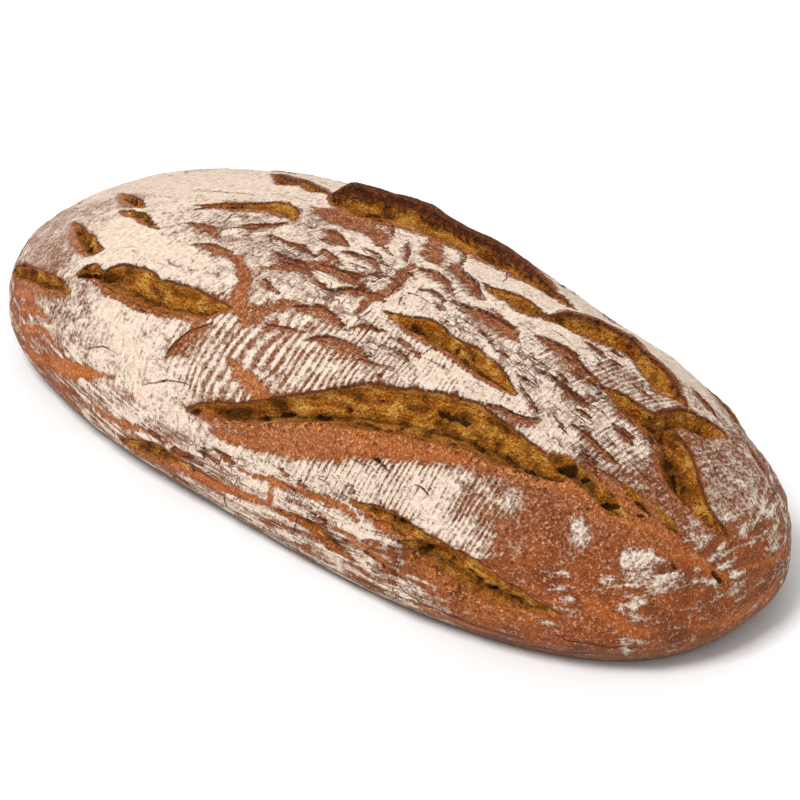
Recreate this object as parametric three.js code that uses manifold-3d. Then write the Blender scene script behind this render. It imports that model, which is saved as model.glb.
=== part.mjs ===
// A farmhouse loaf baked free-standing on the oven floor: a long oval of dough that was floured,
// proved in a basket and turned out, so that its skin burst into long splits as it rose in the heat.
// It is one solid. Millimetres, +Z up. +X runs along the loaf, -Y is its front, and the origin is
// under the middle of the loaf on the surface that it rests on.
import * as THREE from "three";
import { mergeVertices } from "three/addons/utils/BufferGeometryUtils.js";
import Module from "manifold-3d";

// Driving dimensions of the dough before it split.
const HALF_LENGTH = 200;
const FRONT_HALF_WIDTH = 90.5; // from the crown line to the widest outline
const BACK_HALF_WIDTH = 96.5;
const CROWN_HEIGHT = 88;
const WAIST_HEIGHT = 18; // height of the widest outline, below which the side tucks under
const TUCK_DEPTH = 26; // how far the side would curl in if it closed to a full quarter ellipse
const TUCK_DROP = 1.25 * WAIST_HEIGHT; // the tuck's ellipse reaches below the floor, which cuts it flat

// The plan is a superellipse that narrows a little towards +X, where the crown is slightly higher.
const PLAN_EXPONENT = 2.46;
const TAPER = -0.05;
const CROWN_RISE = 0.06;

// The skin is laid out flat as a disc: (0, 0) is the crown, radius 1 is where the loaf meets the floor.
const TUCK_LENGTH = 26;
const SKIN_HALF_LENGTH = 254;
const SKIN_HALF_GIRTH = 161;
const RIM_OVERRUN = 1.03; // the sheet runs just under the floor, so that the floor cuts it cleanly
const CELLS_ALONG = 92;
const CELLS_ACROSS = 54;
const UNDERSIDE_DROP = 8;
const FLOOR_BLOCK = 600;

// Slow swells of the dough: height, then the wavelength over 2 pi along and across, then the phases.
const SWELLS = [
  { height: 1.3, along: 47, across: 39, phaseAlong: 1.3, phaseAcross: -0.6 },
  { height: 0.8, along: 23, across: 27, phaseAlong: 0.2, phaseAcross: 1.9 },
];

// Broad places where the dough sank: depth, then the middle and the spread on the flat skin.
const SLACKS = [
  { depth: 5.5, along: 52, across: 88, spreadAlong: 44, spreadAcross: 30 },
  { depth: 2.6, along: 132, across: 86, spreadAlong: 28, spreadAcross: 28 },
  { depth: 1.6, along: 66, across: 62, spreadAlong: 20, spreadAcross: 14 },
];

// The large splits. Points are millimetres on the flat skin, and each runs from one tip to the other.
// Half-width and depth are at the middle, and the lip is the crust lifted along the edge on the left
// of the run.
const SPLITS = [
  {
    points: [[-8, -107], [22, -84], [42, -74], [65, -66], [88, -57], [112, -52], [133, -46]],
    halfWidth: 12,
    depth: 7,
    lip: 2.5,
  },
  { points: [[128, -44], [146, -37], [162, -28], [192, -18]], halfWidth: 8, depth: 3, lip: 1 },
  {
    points: [[-50, 22], [-40, 26], [-20, 30], [0, 36], [20, 40], [40, 42], [75, 37]],
    halfWidth: 10,
    depth: 6,
    lip: 5,
  },
  {
    points: [[-95, -78], [-70, -74], [-57, -73], [-35, -70], [-13, -60]],
    halfWidth: 9,
    depth: 5,
    lip: 1.5,
  },
  { points: [[-166, -75], [-135, -82], [-105, -86], [-92, -88]], halfWidth: 5.5, depth: 3, lip: 1 },
  {
    points: [[76, 18], [82, 27], [92, 35], [105, 38], [118, 35], [138, 32]],
    halfWidth: 9,
    depth: 6,
    lip: 2.5,
  },
  { points: [[27, -32], [50, -28.5], [75, -27], [97, -28]], halfWidth: 6.5, depth: 3.5, lip: 1 },
  { points: [[117, 4], [130, 6], [147, 7]], halfWidth: 6, depth: 4, lip: 1.5 },
  { points: [[138, 8], [142, 18], [146, 29], [152, 40]], halfWidth: 6.5, depth: 4, lip: 1.5 },
  { points: [[146, 11], [156, 5], [168, 0], [197, 1]], halfWidth: 7, depth: 6, lip: 2 },
  {
    points: [[88, -110], [112, -103], [125, -101], [140, -98], [168, -84]],
    halfWidth: 6.5,
    depth: 4,
    lip: 1.5,
  },
  {
    points: [[-128, 71], [-100, 78], [-70, 81], [-35, 80], [-5, 84], [28, 92]],
    halfWidth: 9,
    depth: 5,
    lip: 2,
  },
  { points: [[50, 99], [72, 98], [96, 94], [120, 92], [138, 89]], halfWidth: 7, depth: 4, lip: 2 },
];
const SPLIT_STEPS = 20;
const VALLEY_SKEW = 0.3; // the deepest line lies this far towards the lifted edge
const LIP_PLACE = 1.1;
const LIP_SPREAD = 0.7;
const TIP_TAPER = 0.6;

const wasm = await Module();
wasm.setup();

const signedPower = (value, power) => Math.sign(value) * Math.abs(value) ** power;

// The quarter circumference of an ellipse with semi-axes a and b, by Ramanujan's formula.
function quarterEllipse(a, b) {
  const ratio = ((a - b) / (a + b)) ** 2;
  return (Math.PI / 4) * (a + b) * (1 + (3 * ratio) / (10 + Math.sqrt(4 - 3 * ratio)));
}

// The angle from the crown whose share of the arc is given. bend is 1 on a circle, 0 on a flat top.
function angleOfArc(share, bend) {
  let angle = (share * Math.PI) / 2;
  for (let step = 0; step < 6; step++) {
    const error = (bend * angle * 2) / Math.PI + (1 - bend) * Math.sin(angle) - share;
    const slope = (bend * 2) / Math.PI + (1 - bend) * Math.cos(angle);
    angle = THREE.MathUtils.clamp(angle - error / Math.max(slope, 0.05), 0, Math.PI / 2);
  }
  return angle;
}

// The smooth dough's surface above a point of the skin disc.
function doughPoint(skin) {
  const radius = Math.max(skin.length(), 1e-9);
  const edgeX = signedPower(skin.x / radius, 2 / PLAN_EXPONENT);
  const edgeY = signedPower(skin.y / radius, 2 / PLAN_EXPONENT);
  const halfWidth = skin.y < 0 ? FRONT_HALF_WIDTH : BACK_HALF_WIDTH;
  const dome = CROWN_HEIGHT - WAIST_HEIGHT;
  const reach = Math.hypot(HALF_LENGTH * edgeX, halfWidth * edgeY);
  const domeArc = quarterEllipse(reach, dome);
  const travelled = radius * (domeArc + TUCK_LENGTH);
  const angle = angleOfArc(Math.min(travelled / domeArc, 1), ((Math.PI / 2) * dome) / domeArc);
  const tuck = Math.max(travelled - domeArc, 0) / TUCK_DROP;
  const along = edgeX * Math.sin(angle);
  const x = HALF_LENGTH * along;
  const y = halfWidth * edgeY * Math.sin(angle) * (1 + TAPER * along);
  const z = WAIST_HEIGHT + dome * (1 + CROWN_RISE * along) * Math.cos(angle) - TUCK_DROP * Math.sin(tuck);
  const keep = 1 - (TUCK_DEPTH * (1 - Math.cos(tuck))) / Math.max(Math.hypot(x, y), 1);
  return new THREE.Vector3(x * keep, y * keep, z);
}

// Each split's run as a smooth line of points.
const splitRuns = SPLITS.map((split) => {
  const points = split.points.map(([along, across]) => new THREE.Vector3(along, across, 0));
  return { ...split, run: new THREE.CatmullRomCurve3(points).getPoints(SPLIT_STEPS) };
});

// How high a split lifts or lowers the skin at a place given in millimetres on the flat skin.
function splitHeight(split, place) {
  const nearest = new THREE.Vector3();
  const line = new THREE.Line3();
  let best = Infinity;
  let share = 0;
  let side = 1;
  for (let i = 0; i < SPLIT_STEPS; i++) {
    line.set(split.run[i], split.run[i + 1]);
    const t = line.closestPointToPointParameter(place, true);
    line.at(t, nearest);
    const distance = nearest.distanceTo(place);
    if (distance < best) {
      best = distance;
      share = (i + t) / SPLIT_STEPS;
      const run = line.delta(new THREE.Vector3());
      side = Math.sign(run.x * (place.y - nearest.y) - run.y * (place.x - nearest.x)) || 1;
    }
  }
  const swell = Math.sin(Math.PI * THREE.MathUtils.clamp(share, 0.02, 0.98)) ** TIP_TAPER;
  const across = (side * best) / (split.halfWidth * swell);
  const skewed = across - VALLEY_SKEW * (1 - Math.min(across * across, 1));
  const valley = Math.abs(skewed) < 1 ? (1 - skewed * skewed) ** 2 : 0;
  const lip = Math.exp(-(((across - LIP_PLACE) / LIP_SPREAD) ** 2));
  return swell * (split.lip * lip - split.depth * valley);
}

// Height of the risen skin above the smooth dough.
function skinHeight(skin) {
  const place = new THREE.Vector3(skin.x * SKIN_HALF_LENGTH, skin.y * SKIN_HALF_GIRTH, 0);
  let height = 0;
  for (const { height: rise, along, across, phaseAlong, phaseAcross } of SWELLS)
    height += rise * Math.sin(place.x / along + phaseAlong) * Math.cos(place.y / across + phaseAcross);
  for (const slack of SLACKS) {
    const ahead = (place.x - slack.along) / slack.spreadAlong;
    const aside = (place.y - slack.across) / slack.spreadAcross;
    height -= slack.depth * Math.exp(-(ahead ** 2) - aside ** 2);
  }
  for (const split of splitRuns) height += splitHeight(split, place);
  return height * (1 - THREE.MathUtils.smoothstep(skin.length(), 0.82, 0.97));
}

// Outward direction of the smooth dough, from two short steps on the skin disc.
function doughNormal(skin) {
  const step = 0.004;
  const along = doughPoint(skin.clone().add(new THREE.Vector2(step, 0)));
  along.sub(doughPoint(skin.clone().add(new THREE.Vector2(-step, 0))));
  const across = doughPoint(skin.clone().add(new THREE.Vector2(0, step)));
  across.sub(doughPoint(skin.clone().add(new THREE.Vector2(0, -step))));
  return along.cross(across).normalize();
}

// A box of square cells whose top is wrapped over the loaf, and whose bottom hangs under the floor.
function wrappedSkin() {
  const box = new THREE.BoxGeometry(2, 2, 2, CELLS_ALONG, CELLS_ACROSS, 1);
  box.deleteAttribute("normal");
  box.deleteAttribute("uv");
  const geometry = mergeVertices(box);
  const position = geometry.getAttribute("position");
  for (let i = 0; i < position.count; i++) {
    const [u, v] = [position.getX(i), position.getY(i)];
    const skin = new THREE.Vector2(u * Math.sqrt(1 - (v * v) / 2), v * Math.sqrt(1 - (u * u) / 2));
    const rim = skin.clone().normalize().multiplyScalar(RIM_OVERRUN);
    skin.multiplyScalar(RIM_OVERRUN);
    let point;
    if (position.getZ(i) > 0) {
      point = doughPoint(skin).addScaledVector(doughNormal(skin), skinHeight(skin));
    } else {
      point = doughPoint(rim).multiplyScalar(skin.length() / RIM_OVERRUN).setZ(-UNDERSIDE_DROP);
    }
    position.setXYZ(i, point.x, point.y, point.z);
  }
  return geometry;
}

const solidOf = (geometry) =>
  new wasm.Manifold(
    new wasm.Mesh({
      numProp: 3,
      vertProperties: geometry.getAttribute("position").array,
      triVerts: new Uint32Array(geometry.index.array),
    }),
  );

// Cuts away what hangs under the floor, which leaves the flat base.
function standOnFloor(geometry) {
  const block = new THREE.BoxGeometry(FLOOR_BLOCK, FLOOR_BLOCK, FLOOR_BLOCK);
  block.translate(0, 0, -FLOOR_BLOCK / 2);
  block.deleteAttribute("normal");
  block.deleteAttribute("uv");
  const cut = solidOf(geometry).subtract(solidOf(mergeVertices(block))).getMesh();
  const made = new THREE.BufferGeometry();
  made.setAttribute("position", new THREE.BufferAttribute(Float32Array.from(cut.vertProperties), 3));
  made.setIndex(new THREE.BufferAttribute(Uint32Array.from(cut.triVerts), 1));
  made.computeBoundingBox();
  const middle = made.boundingBox.getCenter(new THREE.Vector3());
  return made.translate(-middle.x, -middle.y, 0);
}

const crust = new THREE.MeshStandardMaterial({ color: 0x9a5c38, roughness: 0.85, metalness: 0 });

const loaf = new THREE.Mesh(standOnFloor(wrappedSkin()), crust);
loaf.name = "loaf";

const farmhouseLoaf = new THREE.Group();
farmhouseLoaf.add(loaf);

export default farmhouseLoaf;
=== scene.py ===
"""A farmhouse hearth loaf: oval and free-standing, torn open across its crown and dusted with combed flour.

The loaf is one crust, modelled as a fine sheet wrapped over the risen dough. A place on the skin is a pair
(along, across) in millimetres on the skin laid flat: along runs to the right end, across to the back. The
splits, pits and flour are placed in those millimetres, and the mesh itself is in metres.
"""

import logging
import math
import random
from dataclasses import dataclass
from enum import Enum
from typing import Sequence

import bmesh
import bpy
import numpy as np
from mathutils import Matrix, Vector, noise


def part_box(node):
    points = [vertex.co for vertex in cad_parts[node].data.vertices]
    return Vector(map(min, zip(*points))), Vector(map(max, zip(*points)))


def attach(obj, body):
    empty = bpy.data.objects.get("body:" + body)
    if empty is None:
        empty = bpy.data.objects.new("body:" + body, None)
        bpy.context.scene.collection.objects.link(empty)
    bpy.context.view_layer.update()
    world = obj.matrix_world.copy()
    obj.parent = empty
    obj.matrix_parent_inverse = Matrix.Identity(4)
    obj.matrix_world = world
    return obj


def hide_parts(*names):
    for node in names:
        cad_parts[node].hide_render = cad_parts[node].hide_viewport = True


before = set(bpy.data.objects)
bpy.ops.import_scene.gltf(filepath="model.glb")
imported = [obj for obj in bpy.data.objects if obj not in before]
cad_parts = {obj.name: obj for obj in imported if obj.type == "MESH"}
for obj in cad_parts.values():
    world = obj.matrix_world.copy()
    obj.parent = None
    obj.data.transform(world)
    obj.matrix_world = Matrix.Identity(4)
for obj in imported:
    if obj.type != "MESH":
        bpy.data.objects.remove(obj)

MM = 0.001
SEED = 20
FAR = 9.0  # a distance field's value, in millimetres, where nothing is near
TINY = 1e-6  # keeps a length of nothing from dividing
COMB_TURN = 2.6  # radians of the comb's wave for each millimetre: its lines are 2.4 mm apart

Point = tuple[float, float, float]  # one point of a split's run: along, across and reach

log = logging.getLogger("loaf")


def smooth(value: np.ndarray, low: float, high: float) -> np.ndarray:
    """Returns a soft step from 0 at low to 1 at high."""
    share = np.clip((value - low) / (high - low), 0, 1)
    return share * share * (3 - 2 * share)


def grain(points: np.ndarray, size: float, seed: float) -> np.ndarray:
    """Soft noise over a list of points.

    Args:
        points: Places in millimetres, two or three numbers each.
        size: Size of one lump in millimetres.
        seed: Moves the pattern, so that two fields differ.

    Returns:
        One number for each point, about -1 to 1.
    """
    places = np.zeros((len(points), 3))
    places[:, : points.shape[1]] = points
    places = places / size + seed
    return np.array([noise.noise(Vector(place)) for place in places])


def tint(red: int, green: int, blue: int) -> tuple[float, float, float, float]:
    """Turns a paint chart's colour, 0 to 255 each, into the light that it reflects.

    Args:
        red: Red.
        green: Green.
        blue: Blue.

    Returns:
        The colour, with its alpha.
    """

    def linear(level: float) -> float:
        """Undoes the display curve for one channel."""
        return level / 12.92 if level <= 0.04045 else ((level + 0.055) / 1.055) ** 2.4

    return (linear(red / 255), linear(green / 255), linear(blue / 255), 1.0)


# ---------------------------------------------------------------------------------------------------------
# The risen dough
# ---------------------------------------------------------------------------------------------------------


@dataclass(frozen=True)
class Swell:
    """A long, low wave in the dough's height."""

    rise: float
    along: float
    across: float
    phase_along: float
    phase_across: float


@dataclass(frozen=True)
class Slack:
    """A broad place where the dough sank, given by its middle on the skin, its spread and its depth."""

    along: float
    across: float
    spread_along: float
    spread_across: float
    depth: float


@dataclass(frozen=True)
class Dough:
    """The smooth risen dough: a superellipse plan, a quarter-ellipse side and a foot tucked under it.

    Attributes:
        half_length: Half its length, in millimetres as every size here.
        front_half_width: How far its front stands out.
        back_half_width: How far its back stands out.
        crown_height: Height of its crown.
        waist_height: Height at which it is widest.
        tuck_depth: How far in the foot turns.
        tuck_drop: How far down the foot turns.
        tuck_length: Length of skin on the foot.
        floor_sine: Sine of the foot's turn where it meets the floor.
        plan_exponent: The superellipse's exponent.
        taper: How much wider the right end is.
        crown_rise: How much higher the right end is.
        flat_half_length: Half the length of the skin laid flat.
        flat_half_girth: Half its girth.
        swells: Long waves in its height.
        slacks: Sunk places.
    """

    half_length: float
    front_half_width: float
    back_half_width: float
    crown_height: float
    waist_height: float = 18.0
    tuck_depth: float = 26.0
    tuck_drop: float = 22.5
    tuck_length: float = 26.0
    floor_sine: float = 0.8
    plan_exponent: float = 2.46
    taper: float = -0.05
    crown_rise: float = 0.06
    flat_half_length: float = 254.0
    flat_half_girth: float = 161.0
    swells: tuple[Swell, ...] = (Swell(1.3, 47, 39, 1.3, -0.6), Swell(0.8, 23, 27, 0.2, 1.9))
    slacks: tuple[Slack, ...] = (
        Slack(52, 88, 44, 30, 5.5),
        Slack(132, 86, 28, 28, 2.6),
        Slack(66, 62, 20, 14, 1.6),
    )

    @classmethod
    def inside(cls, size: Vector) -> "Dough":
        """Sizes the dough to a box.

        Args:
            size: The box's length, width and height in metres.

        Returns:
            The dough that fills it.
        """
        front_share, back_share, crown_share = 0.486, 0.518, 0.988
        length, width, height = (side / MM for side in size)
        return cls(length / 2, width * front_share, width * back_share, height * crown_share)

    def radius(self, skin: np.ndarray) -> np.ndarray:
        """Returns how far each place is from the crown, 0, to the rim of the flat skin, 1."""
        return np.hypot(skin[:, 0] / self.flat_half_length, skin[:, 1] / self.flat_half_girth)

    def _side(self, x: np.ndarray, y: np.ndarray) -> tuple[np.ndarray, ...]:
        """Finds the side of the loaf in the direction of each place.

        Args:
            x: Along, as a share of the flat half length.
            y: Across, as a share of the flat half girth.

        Returns:
            The plan's direction in x and y, its half width, and the dome's arc length there.
        """
        radius = np.maximum(np.hypot(x, y), 1e-9)
        edge_x = np.sign(x) * np.abs(x / radius) ** (2 / self.plan_exponent)
        edge_y = np.sign(y) * np.abs(y / radius) ** (2 / self.plan_exponent)
        half_width = np.where(y < 0, self.front_half_width, self.back_half_width)
        reach = np.hypot(self.half_length * edge_x, half_width * edge_y)
        dome = self.crown_height - self.waist_height
        ratio = ((reach - dome) / (reach + dome)) ** 2
        arc = math.pi / 4 * (reach + dome) * (1 + 3 * ratio / (10 + np.sqrt(4 - 3 * ratio)))
        return edge_x, edge_y, half_width, arc

    def lay(self, square: np.ndarray) -> np.ndarray:
        """Spreads a square sheet, -1 to 1 each way, over the skin from the crown to the floor.

        Args:
            square: Points of the sheet.

        Returns:
            Their places on the flat skin.
        """
        u, v = square[:, 0], square[:, 1]
        x = u * np.sqrt(1 - v * v / 2)
        y = v * np.sqrt(1 - u * u / 2)
        arc = self._side(x, y)[3]
        to_floor = (arc + self.tuck_drop * math.asin(self.floor_sine)) / (arc + self.tuck_length)
        return np.stack([x * to_floor * self.flat_half_length, y * to_floor * self.flat_half_girth], 1)

    def surface(self, skin: np.ndarray) -> np.ndarray:
        """Wraps the flat skin over the dough.

        Args:
            skin: Places on the flat skin.

        Returns:
            Their points in space, in millimetres, with the floor at height 0.
        """
        x, y = skin[:, 0] / self.flat_half_length, skin[:, 1] / self.flat_half_girth
        edge_x, edge_y, half_width, arc = self._side(x, y)
        travelled = np.hypot(x, y) * (arc + self.tuck_length)
        dome = self.crown_height - self.waist_height
        bend = math.pi / 2 * dome / arc
        share = np.minimum(travelled / arc, 1)
        angle = share * math.pi / 2
        rounds = 6
        for _ in range(rounds):
            error = bend * angle * 2 / math.pi + (1 - bend) * np.sin(angle) - share
            slope = bend * 2 / math.pi + (1 - bend) * np.cos(angle)
            angle = np.clip(angle - error / np.maximum(slope, 0.05), 0, math.pi / 2)
        tuck = np.maximum(travelled - arc, 0) / self.tuck_drop
        reach = edge_x * np.sin(angle)
        px = self.half_length * reach
        py = half_width * edge_y * np.sin(angle) * (1 + self.taper * reach)
        pz = self.waist_height + dome * (1 + self.crown_rise * reach) * np.cos(angle)
        pz = pz - self.tuck_drop * np.sin(tuck)
        keep = 1 - self.tuck_depth * (1 - np.cos(tuck)) / np.maximum(np.hypot(px, py), 1)
        return np.stack([px * keep, py * keep, pz], 1)

    def outward(self, skin: np.ndarray) -> np.ndarray:
        """Finds the way out of the dough, from two short steps on the skin.

        Args:
            skin: Places on the flat skin, in millimetres.

        Returns:
            A unit vector for each place.
        """
        step = 1.0
        along = self.surface(skin + [step, 0]) - self.surface(skin - [step, 0])
        across = self.surface(skin + [0, step]) - self.surface(skin - [0, step])
        out = np.cross(along, across)
        return out / np.maximum(np.linalg.norm(out, axis=1), 1e-9)[:, None]

    def swelling(self, skin: np.ndarray) -> np.ndarray:
        """Adds up the dough's long waves, small lumps and sunk places.

        Args:
            skin: Places on the flat skin, in millimetres.

        Returns:
            The height that they add at each place.
        """
        s, t = skin[:, 0], skin[:, 1]
        height = 0.9 * grain(skin, size=34, seed=3.1) + 0.4 * grain(skin, size=13, seed=7.7)
        for swell in self.swells:
            wave = np.sin(s / swell.along + swell.phase_along)
            wave = wave * np.cos(t / swell.across + swell.phase_across)
            height = height + swell.rise * wave
        for slack in self.slacks:
            ahead = (s - slack.along) / slack.spread_along
            aside = (t - slack.across) / slack.spread_across
            height = height - slack.depth * np.exp(-(ahead**2) - aside**2)
        return height


# ---------------------------------------------------------------------------------------------------------
# What the oven and the flour did to the skin
# ---------------------------------------------------------------------------------------------------------


class Skin:
    """The skin's places and everything that marks them, one number for each place in each field."""

    def __init__(self, places: np.ndarray, dough: Dough) -> None:
        """Starts with an unmarked skin.

        Args:
            places: Places on the flat skin, in millimetres.
            dough: The dough that the skin lies on.
        """
        count = len(places)
        self.places = places
        self.radius = dough.radius(places)
        warp = np.stack([grain(places, 9, seed) for seed in (11.3, 17.9)], 1)
        self.fray = np.stack([grain(places, 3.2, seed) for seed in (41.3, 47.9)], 1)
        self.ragged = places + 0.9 * warp + 0.55 * self.fray
        self.height = dough.swelling(places)
        self.sunk = np.zeros(count)
        self.raised = np.zeros(count)
        self.slip = np.zeros((count, 2))
        self.open = np.full(count, -FAR)
        self.edge = np.full(count, FAR)
        self.verge = np.full(count, FAR)
        self.pit = np.full(count, -FAR)
        self.bare = np.zeros(count)
        self.apron = np.zeros(count)
        self.deep = np.zeros(count)
        self.char = np.zeros(count)
        self.amber = np.zeros(count)
        self.level = np.zeros(count)
        self.flow = np.zeros((count, 3))
        self.lump = np.zeros(count)
        self.crazed = np.zeros(count)
        self.cover = np.zeros(count)
        self.combed = np.zeros(count)


class SplitKind(Enum):
    """The ways in which the skin gives."""

    BURST = "burst"  # torn wide open, and the crumb shows
    TEAR = "tear"  # the skin has slipped down from a fine edge and left crust bare
    BARE = "bare"  # a smooth strip that the flour never reached
    CRACK = "crack"  # a hairline


STEPS_PER_POINT = 8
THINNEST = 0.3  # a run's least reach, in millimetres as all that follow
CLEARANCE = 14.0  # how far beside a split the skin still feels it
LIP_SPREAD = 7.0  # how far back a burst's lip stays raised
FOLD_SPREAD = 4.0  # how far back the lip's skin is drawn along
RIM_SPREAD = 1.4  # how far back the lip has lost its flour
FURROW_REACH = 1.7  # half width of the furrow along a burst's valley
SLIP_SPREAD = 3.0  # how far back a tear's edge stays raised
HAIRLINE_REACH = 1.1  # half width of a hairline's groove


@dataclass(frozen=True)
class Beside:
    """Where the places near a split's run stand.

    Attributes:
        near: Indices of the places.
        across: Distance from the run at each, positive on the lifted side.
        reach: The run's reach beside each.
        travel: How far along the run each is, in millimetres.
        away: Direction from the run towards the lifted side at each.
    """

    near: np.ndarray
    across: np.ndarray
    reach: np.ndarray
    travel: np.ndarray
    away: np.ndarray


@dataclass(frozen=True)
class Split:
    """One place where the skin gave.

    The run goes from left to right, and the lifted edge is on its back side. Each of its points is
    (along, across, reach): reach is the half width of a burst or a strip, and the depth of bare crust in
    front of a tear's edge.

    Attributes:
        kind: How the skin gave.
        run: The points.
        depth: How far the skin sinks, in millimetres.
        lip: How far a burst's lifted edge rises.
        skirt: How much crust a burst stretched bare in front of it.
        char: How burnt a burst's lifted edge is, 0 to 1.
        ink: How strongly the edge's dark line, painted shadow under the edge, is drawn.
        crease: Where a burst's valley lies, from -1 at its front edge to 1 at its lifted edge.
        warm: How amber a strip is, 0 to 1, or 0 for plain on the crown and amber on the lower side.
    """

    kind: SplitKind
    run: tuple[Point, ...]
    depth: float = 1.0
    lip: float = 0.0
    skirt: float = 3.0
    char: float = 0.0
    ink: float = 1.0
    crease: float = -0.25
    warm: float = 0.0

    def route(self) -> np.ndarray:
        """Draws the run as a smooth line through its points.

        Returns:
            A row of (along, across, reach) for each step.
        """
        points = np.array(self.run, float)
        ends = np.vstack([2 * points[0] - points[1], points, 2 * points[-1] - points[-2]])
        steps = np.linspace(0, 1, STEPS_PER_POINT, endpoint=False)[:, None]
        rows = []
        for before, start, end, after in zip(ends, ends[1:], ends[2:], ends[3:]):
            bend = 2 * before - 5 * start + 4 * end - after
            turn = 3 * start - before - 3 * end + after
            rows.append(start + 0.5 * ((end - before) * steps + bend * steps**2 + turn * steps**3))
        rows.append(points[-1:])
        line = np.vstack(rows)
        line[:, 2] = np.maximum(line[:, 2], THINNEST)
        return line

    def beside(self, skin: Skin) -> Beside:
        """Measures the places near the run.

        Args:
            skin: The skin that the split is on.

        Returns:
            The places within reach of the split and where they stand beside it.
        """
        line = self.route()
        margin = line[:, 2].max() + self.skirt + CLEARANCE
        low = line[:, :2].min(0) - margin
        high = line[:, :2].max(0) + margin
        near = np.flatnonzero(np.all((skin.places > low) & (skin.places < high), axis=1))
        places = skin.ragged[near]
        best = np.full(len(near), np.inf)
        side = np.ones(len(near))
        reach = np.ones(len(near))
        travel = np.zeros(len(near))
        away = np.zeros((len(near), 2))
        gone = 0.0
        for start, end in zip(line[:-1], line[1:]):
            step = (end - start)[:2]
            length = math.hypot(*step)
            share = np.clip((places - start[:2]) @ step / length**2, 0, 1)
            gap = places - start[:2] - share[:, None] * step
            distance = np.hypot(gap[:, 0], gap[:, 1])
            nearer = distance < best
            best[nearer] = distance[nearer]
            away[nearer] = gap[nearer]
            reach[nearer] = (start[2] + share * (end[2] - start[2]))[nearer]
            travel[nearer] = gone + (share * length)[nearer]
            turn = step[0] * gap[:, 1] - step[1] * gap[:, 0]
            side[nearer] = np.where(turn >= 0, 1.0, -1.0)[nearer]
            gone += length
        away = away * (side / np.maximum(best, TINY))[:, None]
        return Beside(near, side * best, reach, travel, away)

    def press(self, skin: Skin) -> None:
        """Marks the skin with this split.

        Args:
            skin: The skin to mark.
        """
        marks = {
            SplitKind.BURST: self._burst,
            SplitKind.TEAR: self._tear,
            SplitKind.BARE: self._strip,
            SplitKind.CRACK: self._crack,
        }
        marks[self.kind](skin, self.beside(skin))

    def _widest(self) -> float:
        """Returns the run's largest reach."""
        return max(point[2] for point in self.run)

    @staticmethod
    def _shadow_line(skin: Skin, near: np.ndarray, gap: np.ndarray) -> None:
        """Draws an edge, a dark line of painted shadow, where the gap, which is signed, goes through
        nothing.

        Args:
            skin: The skin to mark.
            near: Indices of the places.
            gap: Signed distance from the edge at each.
        """
        nearer = np.abs(gap) < skin.edge[near]
        skin.edge[near[nearer]] = np.abs(gap[nearer])
        skin.verge[near[nearer]] = gap[nearer]

    def _burst(self, skin: Skin, beside: Beside) -> None:
        """Opens the skin to the crumb.

        Args:
            skin: The skin to mark.
            beside: Where the places near the run stand.
        """
        swell = np.clip(beside.reach / (0.7 * self._widest()), 0.05, 1) ** 0.7
        level = beside.across / beside.reach
        self._sink(skin, beside, swell, level)
        self._lift(skin, beside, swell, level)
        self._show_crumb(skin, beside, level)
        self._wear(skin, beside, swell, level)
        self._scorch(skin, beside, swell, level)

    def _sink(self, skin: Skin, beside: Beside, swell: np.ndarray, level: np.ndarray) -> None:
        """Sinks a burst's floor.

        Args:
            skin: The skin.
            beside: The places beside the run.
            swell: How fully open the burst is beside each, 0 to 1.
            level: Where each stands between the front edge, -1, and the lifted edge, 1.
        """
        near = beside.near
        slope = np.where(
            level > self.crease,
            (level - self.crease) / (1 - self.crease),
            (self.crease - level) / (1 + self.crease),
        )
        valley = 1 - np.clip(slope, 0, 1) ** 1.5
        wall = np.where(level > self.crease, 0.34 + 0.66 * valley, valley)
        inside = np.abs(level) < 1
        opening = beside.reach - np.abs(beside.across)
        drop = self.depth * swell * wall * smooth(opening, -0.3, 2.2)
        skin.sunk[near] = np.where(inside, np.maximum(skin.sunk[near], drop), skin.sunk[near])
        # The furrow marks the valley, along which the crumb's colour paints shade.
        furrow = np.exp(-(((level - self.crease) * beside.reach / FURROW_REACH) ** 2))
        furrow = furrow * smooth(beside.reach, 1.5, 4)
        skin.deep[near] = np.maximum(skin.deep[near], furrow * inside)

    def _lift(self, skin: Skin, beside: Beside, swell: np.ndarray, level: np.ndarray) -> None:
        """Raises a burst's back edge and draws its skin over.

        Args:
            skin: The skin to mark.
            beside: Where the places near the run stand.
            swell: How fully open the burst is beside each, 0 to 1.
            level: Where each stands, from the front edge, -1, to the lifted edge, 1.
        """
        near = beside.near
        beyond = beside.across - beside.reach
        behind = np.maximum(beyond, 0)
        lifted = np.where(beyond > -2.5, np.exp(-((behind / LIP_SPREAD) ** 2)), 0)
        skin.raised[near] = np.maximum(skin.raised[near], self.lip * swell * lifted)
        over = smooth(beyond, -2.8, 0.8)
        fold = (1 - over) * 0.5 * smooth(level, 0.5, 1.0) - over * np.exp(-((behind / FOLD_SPREAD) ** 2))
        skin.slip[near] += (0.6 * self.lip * swell * fold)[:, None] * beside.away
        self._shadow_line(skin, near, np.where(level > 0.2, beyond, FAR) / self.ink)

    @staticmethod
    def _show_crumb(skin: Skin, beside: Beside, level: np.ndarray) -> None:
        """Marks the crumb where this burst is the most open one.

        Args:
            skin: The skin to mark.
            beside: Where the places near the run stand.
            level: Where each stands, from the front edge, -1, to the lifted edge, 1.
        """
        opening = beside.reach - np.abs(beside.across)
        chosen = opening > skin.open[beside.near]
        wins = beside.near[chosen]
        skin.open[wins] = opening[chosen]
        skin.level[wins] = np.clip(level, -1, 1)[chosen]
        skin.flow[wins, 0] = beside.travel[chosen]
        skin.flow[wins, 1] = beside.across[chosen]

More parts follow.
